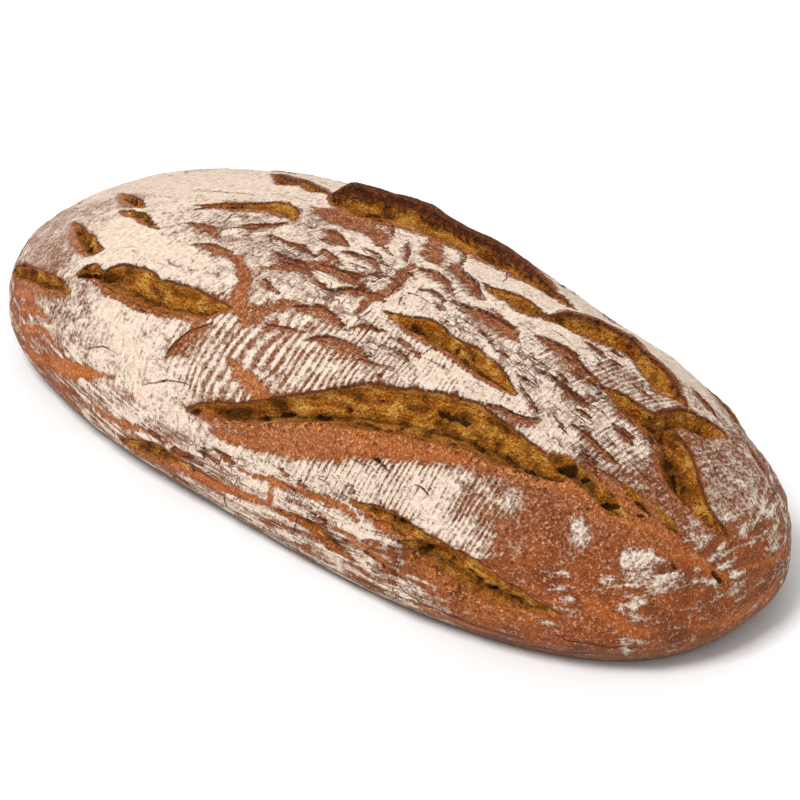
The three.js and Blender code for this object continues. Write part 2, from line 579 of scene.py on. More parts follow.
    def _wear(self, skin: Skin, beside: Beside, swell: np.ndarray, level: np.ndarray) -> None:
        """Takes the flour off the skirt and the rim.

        Args:
            skin: The skin to mark.
            beside: Where the places near the run stand.
            swell: How fully open the burst is beside each, 0 to 1.
            level: Where each stands, from the front edge, -1, to the lifted edge, 1.
        """
        near = beside.near
        below = -beside.across - beside.reach
        behind = np.maximum(beside.across - beside.reach, 0)
        skirt = 1 - np.clip(below / np.maximum(self.skirt * swell, 0.1), 0, 1)
        rim = 0.6 * np.exp(-((behind / RIM_SPREAD) ** 2)) * smooth(skin.fray[near, 0], -0.4, 0.5)
        apron = np.where(level < 0, skirt * smooth(beside.reach, 0.3, 2.5), rim)
        apron = np.where(np.abs(level) < 1, 1, apron)
        skin.bare[near] = np.maximum(skin.bare[near], apron)
        skin.apron[near] = np.maximum(skin.apron[near], apron)

    def _scorch(self, skin: Skin, beside: Beside, swell: np.ndarray, level: np.ndarray) -> None:
        """Burns a burst's lifted edge.

        Args:
            skin: The skin to mark.
            beside: Where the places near the run stand.
            swell: How fully open the burst is beside each, 0 to 1.
            level: Where each stands, from the front edge, -1, to the lifted edge, 1.
        """
        near = beside.near
        beyond = beside.across - beside.reach
        spread = np.where(beyond < 0, 1.8, 0.8 + 5.5 * self.char**2 * swell**2)
        burnt = self.char * swell**0.5 * np.exp(-((beyond / spread) ** 4)) * (level > 0)
        skin.char[near] = np.maximum(skin.char[near], burnt)

    def _tear(self, skin: Skin, beside: Beside) -> None:
        """Slips the skin down from a fine edge.

        Args:
            skin: The skin to mark.
            beside: Where the places near the run stand.
        """
        near, across, reach = beside.near, beside.across, beside.reach
        swell = smooth(reach, 0.3, 0.5 * self._widest())
        front = np.clip(-across / reach, 0, 1)
        on_front = (across <= 0) & (across > -reach)
        drop = self.depth * swell * (1 - front)
        skin.sunk[near] = np.where(on_front, np.maximum(skin.sunk[near], drop), skin.sunk[near])
        behind = np.where(across > 0, np.exp(-((across / SLIP_SPREAD) ** 2)), 0)
        skin.raised[near] = np.maximum(skin.raised[near], 0.5 * self.depth * swell * behind)
        skin.slip[near] -= (0.7 * self.depth * swell * behind)[:, None] * beside.away
        self._shadow_line(skin, near, across / np.maximum(self.ink * swell, 0.05))
        band = np.clip(-across / (1.7 * reach), 0, 1)
        worn = np.where(across <= 0, swell * (1 - band) ** 1.2, 0)
        skin.bare[near] = np.maximum(skin.bare[near], worn)

    def _strip(self, skin: Skin, beside: Beside) -> None:
        """Keeps a strip free of flour.

        Args:
            skin: The skin to mark.
            beside: Where the places near the run stand.
        """
        near = beside.near
        share = 1 - np.clip(np.abs(beside.across) / beside.reach, 0, 1)
        worn = 0.85 * smooth(share + 0.25 * skin.fray[near, 0], 0, 0.7)
        skin.bare[near] = np.maximum(skin.bare[near], worn)
        skin.sunk[near] = np.maximum(skin.sunk[near], self.depth * smooth(share, 0, 0.8))
        warm = self.warm if self.warm else 0.8 * smooth(skin.radius[near], 0.64, 0.72)
        skin.amber[near] = np.maximum(skin.amber[near], warm * smooth(share, 0, 0.7))

    def _crack(self, skin: Skin, beside: Beside) -> None:
        """Draws a hairline.

        Args:
            skin: The skin to mark.
            beside: Where the places near the run stand.
        """
        near, across = beside.near, beside.across
        self._shadow_line(skin, near, across / np.maximum(beside.reach, 0.05))
        groove = np.exp(-((across / HAIRLINE_REACH) ** 2))
        skin.sunk[near] = np.maximum(skin.sunk[near], self.depth * groove)


def burst(*run: Point, **sizes: float) -> Split:
    """Returns a burst along a run."""
    return Split(SplitKind.BURST, run, **sizes)


def tear(*run: Point, **sizes: float) -> Split:
    """Returns a tear along a run."""
    return Split(SplitKind.TEAR, run, **sizes)


def strip(*run: Point, **sizes: float) -> Split:
    """Returns a bare strip along a run."""
    return Split(SplitKind.BARE, run, **sizes)


def crack(*run: Point, **sizes: float) -> Split:
    """Returns a hairline along a run."""
    return Split(SplitKind.CRACK, run, **sizes)


@dataclass(frozen=True)
class Pit:
    """A hole in the crumb, from one place to another, sunk into the skin and darkened with painted shade.
    """

    start: tuple[float, float]
    end: tuple[float, float]
    reach: float

    def press(self, skin: Skin) -> None:
        """Sinks the hole into the skin.

        Args:
            skin: The skin to mark.
        """
        start, end = np.array(self.start), np.array(self.end)
        step = end - start
        places = skin.ragged + 0.3 * skin.fray
        share = np.clip((places - start) @ step / max(step @ step, TINY), 0, 1)
        gap = places - start - share[:, None] * step
        inside = self.reach - np.hypot(gap[:, 0], gap[:, 1])
        skin.pit = np.maximum(skin.pit, inside)
        skin.sunk = skin.sunk + 1.3 * self.reach * smooth(inside, -0.8, self.reach)


@dataclass(frozen=True)
class Dusting:
    """How much flour lies at a place, and how strongly the basket combed it across the loaf."""

    along: float
    across: float
    cover: float
    combed: float = 0.0
    reach: float = 13.0


def sieve(notes: Sequence[Dusting], skin: Skin) -> None:
    """Blends the dustings over the whole skin, from a thin even one where no dusting reaches.

    Args:
        notes: The dustings.
        skin: The skin to mark.
    """
    everywhere, even_cover, even_comb = 0.02, 0.55, 0.2
    weight = np.full(len(skin.places), everywhere)
    cover = weight * even_cover
    combed = weight * even_comb
    for note in notes:
        gap = (skin.places - [note.along, note.across]) / note.reach
        share = np.exp(-(gap**2).sum(1)) * (Dusting.reach / note.reach) ** 2
        weight += share
        cover += share * note.cover
        combed += share * note.combed
    skin.cover = cover / weight
    skin.combed = combed / weight


# The long burst along the front, the ridge behind the crown, and the other places where the crumb shows.
BURSTS = (
    burst(
        (-8, -107, 1), (5, -97, 4.5), (22, -84, 6.5), (42, -74, 10), (65, -66, 11), (88, -57, 12),
        (112, -52, 9), (133, -46, 4),
        depth=7, lip=2.5, skirt=11,
    ),
    burst((126, -43, 3), (135, -40, 5), (147, -39, 4.5), (158, -37, 6), (166, -34, 1), depth=2, ink=0.1),
    burst((155, -25, 1), (163, -25, 3), (171, -24, 1), depth=1, ink=0.1),
    burst((170, -19, 1), (178, -19, 2.5), (186, -17, 1), depth=1, ink=0.1),
    burst(
        (-44, 24, 1), (-38, 26, 5), (-31, 28, 9), (-20, 30, 11), (0, 36, 9), (20, 40, 7), (40, 42, 4.5),
        (57, 41, 2), (70, 38, 0.5),
        depth=6, lip=6, skirt=6, char=1.0, crease=-0.6,
    ),
    burst(
        (-95, -78, 1), (-88, -75, 4), (-80, -76, 3), (-70, -74, 8), (-57, -73, 9), (-46, -73, 8.5),
        (-35, -70, 8), (-24, -66, 6), (-13, -60, 1),
        depth=5, lip=1.5, skirt=2,
    ),
    burst(
        (-166, -75, 2), (-150, -79, 4), (-135, -82, 4.5), (-120, -85, 4.5), (-105, -86, 4), (-92, -88, 1),
        depth=3, lip=1,
    ),
    burst(
        (-141, -45, 0.5), (-132, -50, 2.5), (-120, -56, 3.5), (-108, -61, 4.5), (-99, -64, 3.5),
        (-93, -63, 0.5),
        depth=3, lip=1,
    ),
    burst((-146, -10, 0.5), (-132, -17, 2.5), (-121, -21, 3.5), (-111, -25, 1), depth=2.5, lip=0.8),
    burst(
        (-118, -33, 0.5), (-109, -33, 2.5), (-99, -35, 2.5), (-90, -39, 1.5), (-82, -42, 0.5),
        depth=2, lip=0.6,
    ),
    burst(
        (-88, -13, 0.5), (-78, -8, 2.5), (-66, -3, 3), (-56, 2, 3.5), (-46, 0, 3), (-40, -3, 0.5),
        depth=2.5, lip=1, char=0.3,
    ),
    burst(
        (-98, 43, 0.5), (-88, 38, 2), (-78, 31, 3.5), (-66, 32, 2), (-54, 29, 2), (-44, 27, 1),
        depth=3, lip=1.5, char=0.7,
    ),
    burst(
        (76, 18, 2), (82, 27, 8), (92, 35, 9), (105, 38, 6), (118, 35, 6.5), (128, 32, 5), (138, 32, 0.5),
        depth=6, lip=2.5, char=0.6,
    ),
    burst((44, 16, 0.5), (52, 15, 3), (60, 17, 5), (68, 16, 5), (74, 17, 1), depth=3.5, lip=1, char=0.3),
    burst(
        (27, -32, 0.5), (38, -31, 3), (50, -28.5, 6), (62, -28, 5.5), (75, -27, 6.5), (87, -27, 4.5),
        (97, -28, 1),
        depth=3.5, lip=1,
    ),
    burst((117, 4, 0.5), (126, 6, 3), (136, 7, 4.5), (147, 7, 5), depth=5, lip=1.5, char=0.3),
    burst((138, 8, 2), (142, 18, 5), (146, 29, 7), (152, 40, 2), depth=4, lip=1.5, char=0.4),
    burst(
        (146, 11, 4), (156, 5, 7), (168, 0, 6), (180, -1, 3.5), (197, 1, 0.5),
        depth=6, lip=2, skirt=3, char=0.3,
    ),
    burst(
        (86, -112, 0.5), (97, -109, 4), (109, -106, 6), (124, -104, 7.5), (139, -101, 6.5), (153, -95, 4),
        (170, -86, 0.5),
        depth=4, lip=1.5, skirt=9,
    ),
    burst(
        (57, -109, 0.5), (70, -107.5, 2.2), (82, -106, 3.2), (95, -104, 2.2), (104, -101, 0.5),
        depth=2, lip=0.5, skirt=4,
    ),
    burst((-42, -138.5, 1), (-30, -136.5, 3.6), (-18, -134, 4.4), (-6, -132, 1), depth=1.5, lip=0.5),
    burst(
        (29, -129, 0.5), (38, -127.5, 1.6), (50, -128, 2), (62, -129, 1.6), (72, -130, 0.5),
        depth=1.5, lip=0.6,
    ),
    burst(
        (-128, 71, 1), (-100, 78, 7), (-70, 81, 9), (-35, 80, 8), (-5, 84, 6), (28, 92, 1),
        depth=5, lip=2, skirt=8, char=0.3,
    ),
    burst(
        (50, 99, 1), (72, 98, 5), (96, 94, 7), (120, 92, 5), (138, 89, 1),
        depth=4, lip=2, skirt=7, char=0.2,
    ),
)

# Slipped scales on the crown: the fine edges, dark with painted shadow, with bare crust in front of them.
TEARS = (
    tear((-27, -1, 1), (-18, 0, 7), (-10, -3, 7), (-4, -7, 1), depth=1.2),
    tear((-5, -12, 0.5), (-1, -7, 3), (4, -6, 4), (10, -9, 3), (15, -13, 0.5), depth=0.9),
    tear((-38, -18, 0.5), (-28, -19, 2), (-15, -18.5, 2), (-7, -19, 0.5), depth=0.5, ink=0.7),
    tear((-26, -28, 0.5), (-16, -27, 3), (-9, -25, 4.5), (-4, -26, 0.5), depth=0.9),
    tear((1, -34, 0.5), (6, -28, 4), (11, -25, 6), (17, -25, 2), depth=1),
    tear((21, 2, 0.5), (28, 5, 4), (36, 4, 4), (42, 1, 3), (47, -2, 0.5), depth=1),
    tear((45, -7, 0.5), (52, -2, 5), (60, 1, 9), (68, 2, 10), (76, 1, 8), (83, -3, 1), depth=1.5),
    tear((32, -10, 0.5), (36, -6, 2.5), (42, -6, 3), (47, -8, 0.5), depth=0.7),
    tear((79, 3, 0.5), (88, 7, 6), (96, 8, 8), (104, 7, 7), (111, 6, 0.5), depth=1.4),
    tear((104, 1, 0.5), (111, 3, 2), (120, 1.5, 0.5), depth=0.6),
    tear((94, -7, 0.5), (102, -6, 3), (108, -4, 5.5), (115, -4, 6), (123, -5.5, 0.5), depth=1.1),
    tear((133, -6.5, 0.5), (140, -4, 3), (146, -5.5, 0.5), depth=0.6),
    tear((119, -20, 0.5), (130, -18, 3), (140, -18, 3.5), (149, -18.5, 0.5), depth=0.7),
    tear(
        (8, -57, 0.5), (12, -53, 4), (18, -51, 6), (26, -51, 5), (34, -54, 3), (44, -54, 2), (50, -53, 0.5),
        depth=0.9,
    ),
    tear((-1, -46, 0.5), (4, -41, 5), (10, -41, 6), (18, -45, 0.5), depth=0.9),
    tear((19, -40, 0.5), (26, -39, 2.5), (34, -40, 0.5), depth=0.6, ink=0.7),
    tear((-1, -58, 0.5), (3, -54, 2), (7, -53, 0.5), depth=0.5, ink=0.7),
    tear((86, -45, 0.5), (95, -39, 4), (103, -36, 6), (109, -33, 6), (113, -29, 0.5), depth=1.2),
    tear((95, -21, 0.5), (100, -23, 2), (107, -26, 3), (111, -30, 0.5), depth=0.7),
    tear((20, 25, 0.5), (30, 18, 6), (41, 15, 9), (48, 10, 7), (57, 4, 0.5), depth=1.6, ink=0.8),
    tear((2, 15, 0.5), (8, 11, 3), (13, 6, 3), (18, 1, 0.5), depth=0.9),
    tear((-7, 23, 0.5), (-3, 18, 2.5), (0, 12, 0.5), depth=1, ink=0.8),
    tear((9, 31, 0.5), (17, 29, 2), (22, 25, 2), (29, 20, 0.5), depth=0.8, ink=0.7),
    tear((-86, -20, 0.5), (-82, -12, 3), (-74, -9, 2), (-66, -12, 0.5), depth=0.5, ink=0.4),
    tear((-60, -43, 0.5), (-50, -38, 4), (-36, -38, 5), (-25, -43, 0.5), depth=0.8, ink=0.4),
    tear((-78, -30, 0.5), (-68, -28, 4), (-58, -29, 4), (-50, -34, 0.5), depth=0.6, ink=0.3),
    tear((-54, -22, 0.5), (-48, -15, 5), (-43, -9, 3), (-40, -5, 0.5), depth=0.8, ink=0.5),
    tear((-24, -95, 0.5), (-22, -84, 6), (-19, -76, 6), (-14, -68, 0.5), depth=0.8, ink=0.6),
    tear((58, -90, 0.5), (62, -90, 0.8), (66, -91, 0.5), depth=0.5),
    tear((100, 36, 0.5), (106, 37, 3), (111, 33, 4), (116, 28, 0.5), depth=1.2),
    tear((-120, -80.5, 0.5), (-108, -82, 1.5), (-95, -86, 0.5), depth=0.6),
)

# Strips without flour: channels between the scales and long marks on the lower side.
STRIPS = (
    strip((2, -110, 3), (20, -102, 8), (40, -93, 10), (58, -85, 8), (76, -78, 6), (94, -70, 2), warm=0.45),
    strip((120, -50, 6), (140, -44, 14), (160, -36, 16), (178, -28, 13), (196, -24, 3), warm=0.35),
    strip((-44, 12, 2), (-32, 11, 8), (-18, 12, 9), (-5, 10, 6), (0, 4, 2), depth=1),
    strip((4, 26, 2), (10, 20, 5), (18, 14, 5), (24, 12, 2), depth=0.6),
    strip((-18, -38, 1), (-8, -30, 3), (-3, -22, 4), (5, -21, 4), (14, -25, 2.5), (24, -27, 1), depth=0.6),
    strip((-6, -64, 1), (-4, -53, 3), (-1, -45, 2), (4, -43, 1), depth=0.6),
    strip((20, 2, 2), (22, -8, 4), (23, -18, 4.5), (18, -28, 3.5), (17, -36, 2), depth=0.7),
    strip((-108, -117, 0.5), (-95, -119, 4), (-83, -119, 5), (-70, -118, 4.5), (-44, -113, 0.5), warm=0.9),
    strip((-140, -113, 0.5), (-125, -116, 3), (-108, -119.5, 1), depth=0.6),
    strip((10, -120, 0.5), (25, -118, 2), (40, -115.5, 1.8), (55, -113.5, 2), (66, -115, 0.5), depth=0.6),
    strip((50, -122, 0.5), (66, -122.5, 1.7), (84, -123, 1.8), (100, -122, 0.5), depth=0.6),
    strip((102, -128, 0.5), (120, -126, 2), (140, -120, 1.7), (156, -112, 0.5), depth=0.5),
    strip((23, -119, 0.7), (25, -124, 1.3), (25, -129, 0.7), depth=0.4),
    strip((92, -112, 0.7), (95, -118, 1.3), (97, -123, 0.7), depth=0.4),
    strip((-12, -135, 0.5), (-2, -134, 3.5), (12, -131, 3.5), (26, -128, 0.7), depth=0.6),
    strip((-62, -130, 1), (-40, -130, 2), (-20, -126, 0.5), depth=0.4),
    strip((-18, -64, 1), (-20, -72, 3), (-16, -78, 1), depth=0.4),
    strip((-32, -38, 1), (-18, -46, 3.5), (-12, -55, 4), (-5, -63, 1), depth=0.8, warm=0.3),
    strip((-4, -78, 1), (3, -83, 5), (12, -88, 4), depth=0.8, warm=0.55),
    strip((-160, -88, 1), (-140, -90, 3), (-122, -94, 1), depth=0.5),
    strip((-140, -98, 1), (-118, -99, 2), (-98, -103, 0.5), depth=0.5),
    strip((-140, -106, 1), (-120, -107, 2.5), (-100, -108, 1.8), (-90, -112, 0.5), depth=0.5),
    strip((208, 45, 1), (213, 30, 2), (214, 15, 1.5), (212, 0, 1), depth=0.4),
    strip((222, 30, 1), (228, 10, 2.5), (229, -10, 3), (222, -30, 1), depth=0.4, warm=0.8),
    strip((160, -42, 0.5), (168, -35, 2.5), (178, -26, 3), (188, -18, 0.5), depth=0.8, warm=0.9),
    strip((187, -25, 0.5), (196, -18, 3), (206, -11, 3), (214, -4, 0.5), depth=0.6, warm=0.7),
    strip((166, -76, 0.5), (184, -70, 4), (202, -61, 4), (214, -46, 0.5), depth=0.6, warm=0.6),
)

# Hairlines in the flour.
CRACKS = (
    crack((30, -15, 0.6), (36, -13, 0.9), (42, -14, 0.5), depth=0.5),
    crack((59, -17, 0.6), (64, -16, 0.9), (70, -17, 0.5), depth=0.5),
    crack((1, -13, 0.5), (5, -13, 0.8), (9, -14, 0.5), depth=0.4),
    crack((5, -18, 0.5), (9, -19, 0.8), (16, -18, 0.5), depth=0.4),
    crack((70, -12.5, 0.5), (76, -14, 0.8), (79, -16, 0.5), depth=0.4),
    crack((147, -13, 0.5), (153, -12, 1), (161, -12, 0.5), depth=0.6),
    crack((95, -21, 0.5), (100, -23, 0.8), (106, -25, 0.5), depth=0.4),
    crack((112, -23, 0.5), (118, -24, 0.9), (125, -26, 0.5), depth=0.5),
    crack((92, -12, 0.4), (97, -13, 0.7), (102, -15, 0.4), depth=0.4),
    crack((34, -46, 0.5), (41, -45.5, 0.9), (49, -45, 0.5), depth=0.5),
    crack((36, -41, 0.5), (44, -42, 0.8), (50, -41, 0.4), depth=0.4),
    crack((56, -42, 0.4), (62, -41, 0.8), (68, -40, 0.4), depth=0.4),
    crack((-67, -11, 0.4), (-64, -18, 0.8), (-60, -24, 0.8), (-53, -31, 0.4), depth=0.5),
    crack((-50, -12, 0.4), (-46, -18, 0.8), (-52, -22, 0.8), (-58, -24, 0.4), depth=0.5),
    crack((-110, 0, 0.3), (-98, 3, 0.6), (-86, 7, 0.7), (-76, 8, 0.3), depth=0.4),
    crack((-76, 10, 0.3), (-70, 12, 0.6), (-60, 15, 0.4), (-48, 16, 0.4), depth=0.4),
    crack((115, -5, 0.4), (125, -3.5, 0.7), (131, -4, 0.4), depth=0.4),
    crack((112, -13, 0.4), (120, -14, 0.7), (127, -13.5, 0.4), depth=0.4),
    crack((80, -90.5, 0.5), (84, -90, 0.9), (88, -90.5, 0.5), depth=0.5),
    crack((33, 36, 0.4), (38, 32, 0.6), (42, 27, 0.4), depth=0.3),
    crack((22, 24, 0.4), (27, 21, 0.7), (32, 18, 0.4), depth=0.4),
    crack((-28, -108, 0.4), (-20, -102, 0.8), (-11, -97, 0.4), depth=0.4),
    crack((-66, -108, 0.3), (-58, -104, 0.7), (-48, -103, 0.3), depth=0.4),
    crack((-58, -56, 0.3), (-52, -57, 0.8), (-46, -56, 0.3), depth=0.4),
    crack((166, 19, 0.4), (171, 16, 0.9), (176, 15, 0.4), depth=0.5),
    crack((44, -126, 0.4), (66, -124, 0.9), (88, -124, 0.9), (106, -122, 0.4), depth=0.5),
    crack((96, -127, 0.4), (117, -124, 0.9), (141, -117, 0.9), (167, -104, 0.4), depth=0.5),
    crack((140, -122, 0.4), (163, -112, 0.9), (188, -94, 0.9), (206, -75, 0.4), depth=0.6),
    crack((176, -92, 0.4), (196, -78, 0.9), (212, -60, 0.4), depth=0.5),
)

PITS = tuple(
    Pit(*row)
    for row in (
        ((71, -58), (83, -54), 1.5), ((41, -79.5), (56, -76.5), 1.3), ((34, -77), (35, -76), 1.4),
        ((14, -90), (17, -88), 1.4), ((9, -95.5), (11, -94.5), 1.5), ((-7, -107), (-6, -106), 1.5),
        ((25, -84), (31, -83), 1.4), ((82, -67), (85, -66.5), 1.3), ((91, -60), (104, -59), 1.3),
        ((118, -53), (127, -51), 1.2), ((133, -41), (136, -38), 2.9), ((154, -40), (159, -34), 1.5),
        ((142, -37), (144, -36), 1.2), ((150, -48), (151, -47), 0.9), ((168, -29), (170, -27), 1),
        ((193, -29), (196, -28.5), 1.1), ((-93, -78), (-86, -77), 2.3), ((-81, -77), (-77, -75), 1.3),
        ((-77, -84), (-77, -82), 1.1), ((-47, -81), (-44, -81.5), 1.2), ((-41, -62.5), (-39, -62), 1),
        ((-108, -62.5), (-106, -62), 1.6), ((-151, -74), (-147, -74), 1.3), ((57, -89), (60, -90), 1),
        ((28, -40.5), (29, -40.5), 1), ((8, -85.5), (8.5, -85), 0.9), ((63, -28), (64, -26), 1.3),
        ((50, -25), (52, -24.5), 1), ((40, -28.5), (48, -28), 1), ((144, 3), (147, 2), 1.3),
        ((133, 5), (140, 6), 1.2), ((172, -2), (179, -2), 1.3), ((160, 3), (168, 0), 1.3),
        ((185, 0.5), (195, 0.5), 1), ((207, -11), (212, -10), 1.3), ((93, -108), (98, -106.5), 1.1),
        ((120, -104.5), (128, -104.5), 1.1), ((133, -104), (137, -103), 1.1),
        ((141, -100), (150, -98.5), 0.9), ((72, -106.5), (88, -104.5), 0.9), ((-35, -2), (-31, -2), 1.1),
        ((6, 3), (8, 3), 1.3), ((-35, 24), (-30, 24), 1.5), ((-25, 33), (-21, 36), 1.8),
    )
)

# The flour, along the crown from left to right, then down the front, then over the back: along, across and
# cover, and where they are not plain, combed and reach.
DUSTINGS = tuple(
    Dusting(*row)
    for row in (
        (-150, 0, 0.95), (-120, 10, 0.95), (-120, 40, 0.9), (-90, 20, 0.95), (-60, 18, 0.93),
        (-100, -15, 0.85), (-75, -22, 0.7), (-140, -28, 0.6), (-150, -52, 0.58), (-125, -68, 0.45),
        (-122, -42, 0.75), (-100, -50, 0.97), (-85, -60, 0.98), (-60, -52, 0.95), (-35, -50, 0.8),
        (-30, -13, 0.78), (-55, -15, 0.65), (-58, -33, 0.6), (-30, -33, 0.62), (-10, -35, 0.6),
        (-80, -92, 0.64), (-55, -95, 0.92), (-35, -94, 0.84), (-100, -96, 0.62), (-80, -107, 0.7),
        (-60, -106, 0.72), (-125, -100, 0.42), (-142, -108, 0.35), (-105, -111, 0.45), (-22, -105, 0.9),
        (-12, -85, 0.8, 0.7), (-14, -72, 0.65, 0.5), (-4, -63, 0.5, 0.9), (-4, -90, 0.5, 0.9),
        (15, -68, 0.62, 1.0), (35, -61, 0.7, 0.9), (10, -48, 0.65, 0.6), (30, -47, 0.8, 0.7),
        (50, -45, 0.85, 0.7), (72, -41, 0.9, 0.7), (8, -36, 0.98, 0.2), (15, -112, 0.88, 0.6),
        (45, -109, 0.9, 0.9), (60, -97, 0.85, 1.0), (76, -95, 0.74, 1.2), (90, -90, 0.92, 0.6, 8),
        (92, -79, 0.76, 0.6, 8), (108, -69, 0.86, 0.4, 7), (121, -70, 0.84, 0.2, 5),
        (107, -83, 0.4, 0.8, 9), (112, -95, 0.8, 0.5, 8), (119, -81, 0.42, 0.7, 7), (132, -85, 0.2, 0.4, 8),
        (140, -76, 0.16), (142, -62, 0.08), (160, -50, 0.05), (154, -57, 0.75, 0, 4),
        (158, -71, 0.35, 0, 8), (126, -68, 0.25, 0, 7), (-32, 3, 0.6, 0, 7), (10, -12, 0.9, 0.4),
        (9, -3, 1.0, 0, 7), (35, -12, 0.87, 0.4), (52, -14, 0.9, 0.4), (68, -14, 0.84, 0.5),
        (90, -14, 0.9, 0.6), (105, -15, 0.9, 0.6), (120, -15, 0.85, 0.6), (118, -33, 0.93, 0.6),
        (100, -32, 0.88, 0.4, 8), (85, -37, 0.9, 0.4, 8), (140, -11, 0.75, 0.4), (140, -25, 0.65, 0.7, 9),
        (150, -22, 0.5, 0.5, 8), (165, -13, 0.3, 0.4, 9), (15, 14, 0.8, 0), (22, 29, 0.95), (42, 28, 0.98),
        (60, 30, 0.97), (60, 7, 0.9, 0.1, 8), (75, 9, 0.85, 0, 8), (88, 15, 0.9, 0.2, 8),
        (103, 24, 0.8, 0.2, 9), (115, 15, 0.58, 0.5, 8), (128, 20, 0.6, 0.5, 8), (100, 58, 0.95),
        (125, 52, 0.9), (138, 45, 0.7, 0, 9), (150, 60, 0.5), (162, 45, 0.5), (165, 20, 0.46, 0.4),
        (180, 32, 0.6), (187, 14, 0.56), (182, 55, 0.42), (200, 18, 0.36), (207, -14, 0.7, 0, 4),
        (216, -2, 0.4, 0, 4), (215, -20, 0.22), (184, -45, 0.76, 0.3, 7), (194, -36, 0.6, 0.2, 6),
        (195, -62, 0.42, 0, 6), (206, -62, 0.5, 0, 4), (176, -62, 0.36, 0, 5), (180, -68, 0.25),
        (198, -76, 0.1), (212, -40, 0.1), (226, -5, 0.15), (-60, -126, 0.62), (-100, -126, 0.25),
        (-30, -122, 0.72), (0, -122, 0.9), (30, -123, 0.8), (60, -120, 0.84), (88, -120, 0.78),
        (118, -121, 0.6), (150, -107, 0.28), (180, -95, 0.1), (-20, -134, 0.45), (40, -135, 0.46),
        (84, -130, 0.5), (122, -131, 0.4), (-150, 70, 0.6, 0, 20), (-100, 90, 0.8, 0.3, 20),
        (-60, 60, 0.88, 0.2, 20), (-10, 62, 0.8, 0.5, 20), (0, 100, 0.62, 0.6, 20), (50, 70, 0.9, 0.4, 20),
        (90, 110, 0.6, 0.4, 20), (140, 90, 0.45, 0, 20), (-60, 120, 0.5, 0, 20), (20, 128, 0.45, 0, 20),
    )
)


# Where the flour is cracked most: along, across and how far around.
CRAZED = (
    (118, -12, 22), (95, -10, 22), (140, -28, 14), (60, -14, 16), (40, -45, 16), (5, -30, 20),
    (105, 18, 16), (-15, -25, 16), (15, -8, 16), (45, -118, 22), (90, -122, 18), (0, -125, 20),
)


def bowed(
    along: float, across: float, half: float, turn: float, bow: float, reach: float
) -> list[Point]:
    """Returns a short bowed run.

    Args:
        along: Place of its middle along the skin.
        across: Place of its middle across the skin.
        half: Half its length.
        turn: Its turn from the loaf's length, in radians.
        bow: How far its middle stands out.
        reach: Its reach in the middle.

    Returns:
        The run's points.
    """
    points = []
    for share, wide in ((-1.0, 0.2), (-0.4, 1.0), (0.35, 1.0), (1.0, 0.2)):
        ahead, aside = half * share, bow * (1 - share**2)
        place = (
            along + ahead * math.cos(turn) - aside * math.sin(turn),
            across + ahead * math.sin(turn) + aside * math.cos(turn),
        )
        points.append((*place, reach * wide))
    return points


def strewn_scales(rng: random.Random) -> list[Split]:
    """Scatters small slipped scales and hairlines over the crazed crown and the back.

    Args:
        rng: The seeded source of the places.

    Returns:
        The splits, the larger ones first.
    """
    back_scales, crazed_scales, back_hairlines = 26, 7, 30
    hairline_turns = (0.0, 0.0, 0.0, 0.0, 1.5, 1.5, 1.5)
    oval_half_length = 235.0

    def inside_oval(across: float, along: float) -> float:
        """Draws a place on the back in towards the middle as it nears an end."""
        return across * math.sqrt(max(0.0, 1 - (along / oval_half_length) ** 2))

    scales = []
    for _ in range(back_scales):
        along = rng.uniform(-150, 170)
        across = inside_oval(rng.uniform(60, 118), along)
        half, turn = rng.uniform(5, 12), rng.uniform(-0.3, 0.3)
        run = bowed(along, across, half, turn, rng.uniform(-2, 3), rng.uniform(2, 6))
        scales.append(tear(*run, depth=rng.uniform(0.5, 1.1), ink=rng.uniform(0.4, 0.9)))
    for along, across, reach in CRAZED:
        for _ in range(crazed_scales):
            place = along + rng.gauss(0, 0.6) * reach, across + rng.gauss(0, 0.5) * reach
            half = rng.uniform(3, 7)
            run = bowed(*place, half, rng.uniform(-0.35, 0.35), 0.3 * half, rng.uniform(1.5, 3))
            scales.append(tear(*run, depth=rng.uniform(0.4, 0.9), ink=rng.uniform(0.4, 0.8)))
        for turn in hairline_turns:
            place = along + rng.gauss(0, 0.6) * reach, across + rng.gauss(0, 0.5) * reach
            half, turned = rng.uniform(2, 6), turn + rng.uniform(-0.2, 0.2)
            run = bowed(*place, half, turned, rng.uniform(-0.7, 0.7), 0.7)
            scales.append(crack(*run, depth=0.4))
    for _ in range(back_hairlines):
        along = rng.uniform(-170, 180)
        across = inside_oval(rng.uniform(45, 120), along)
        run = bowed(along, across, rng.uniform(3, 7), rng.uniform(-0.3, 0.3), 0.6, 0.8)
        scales.append(crack(*run, depth=0.4))
    return scales


# ---------------------------------------------------------------------------------------------------------
# Materials
# ---------------------------------------------------------------------------------------------------------


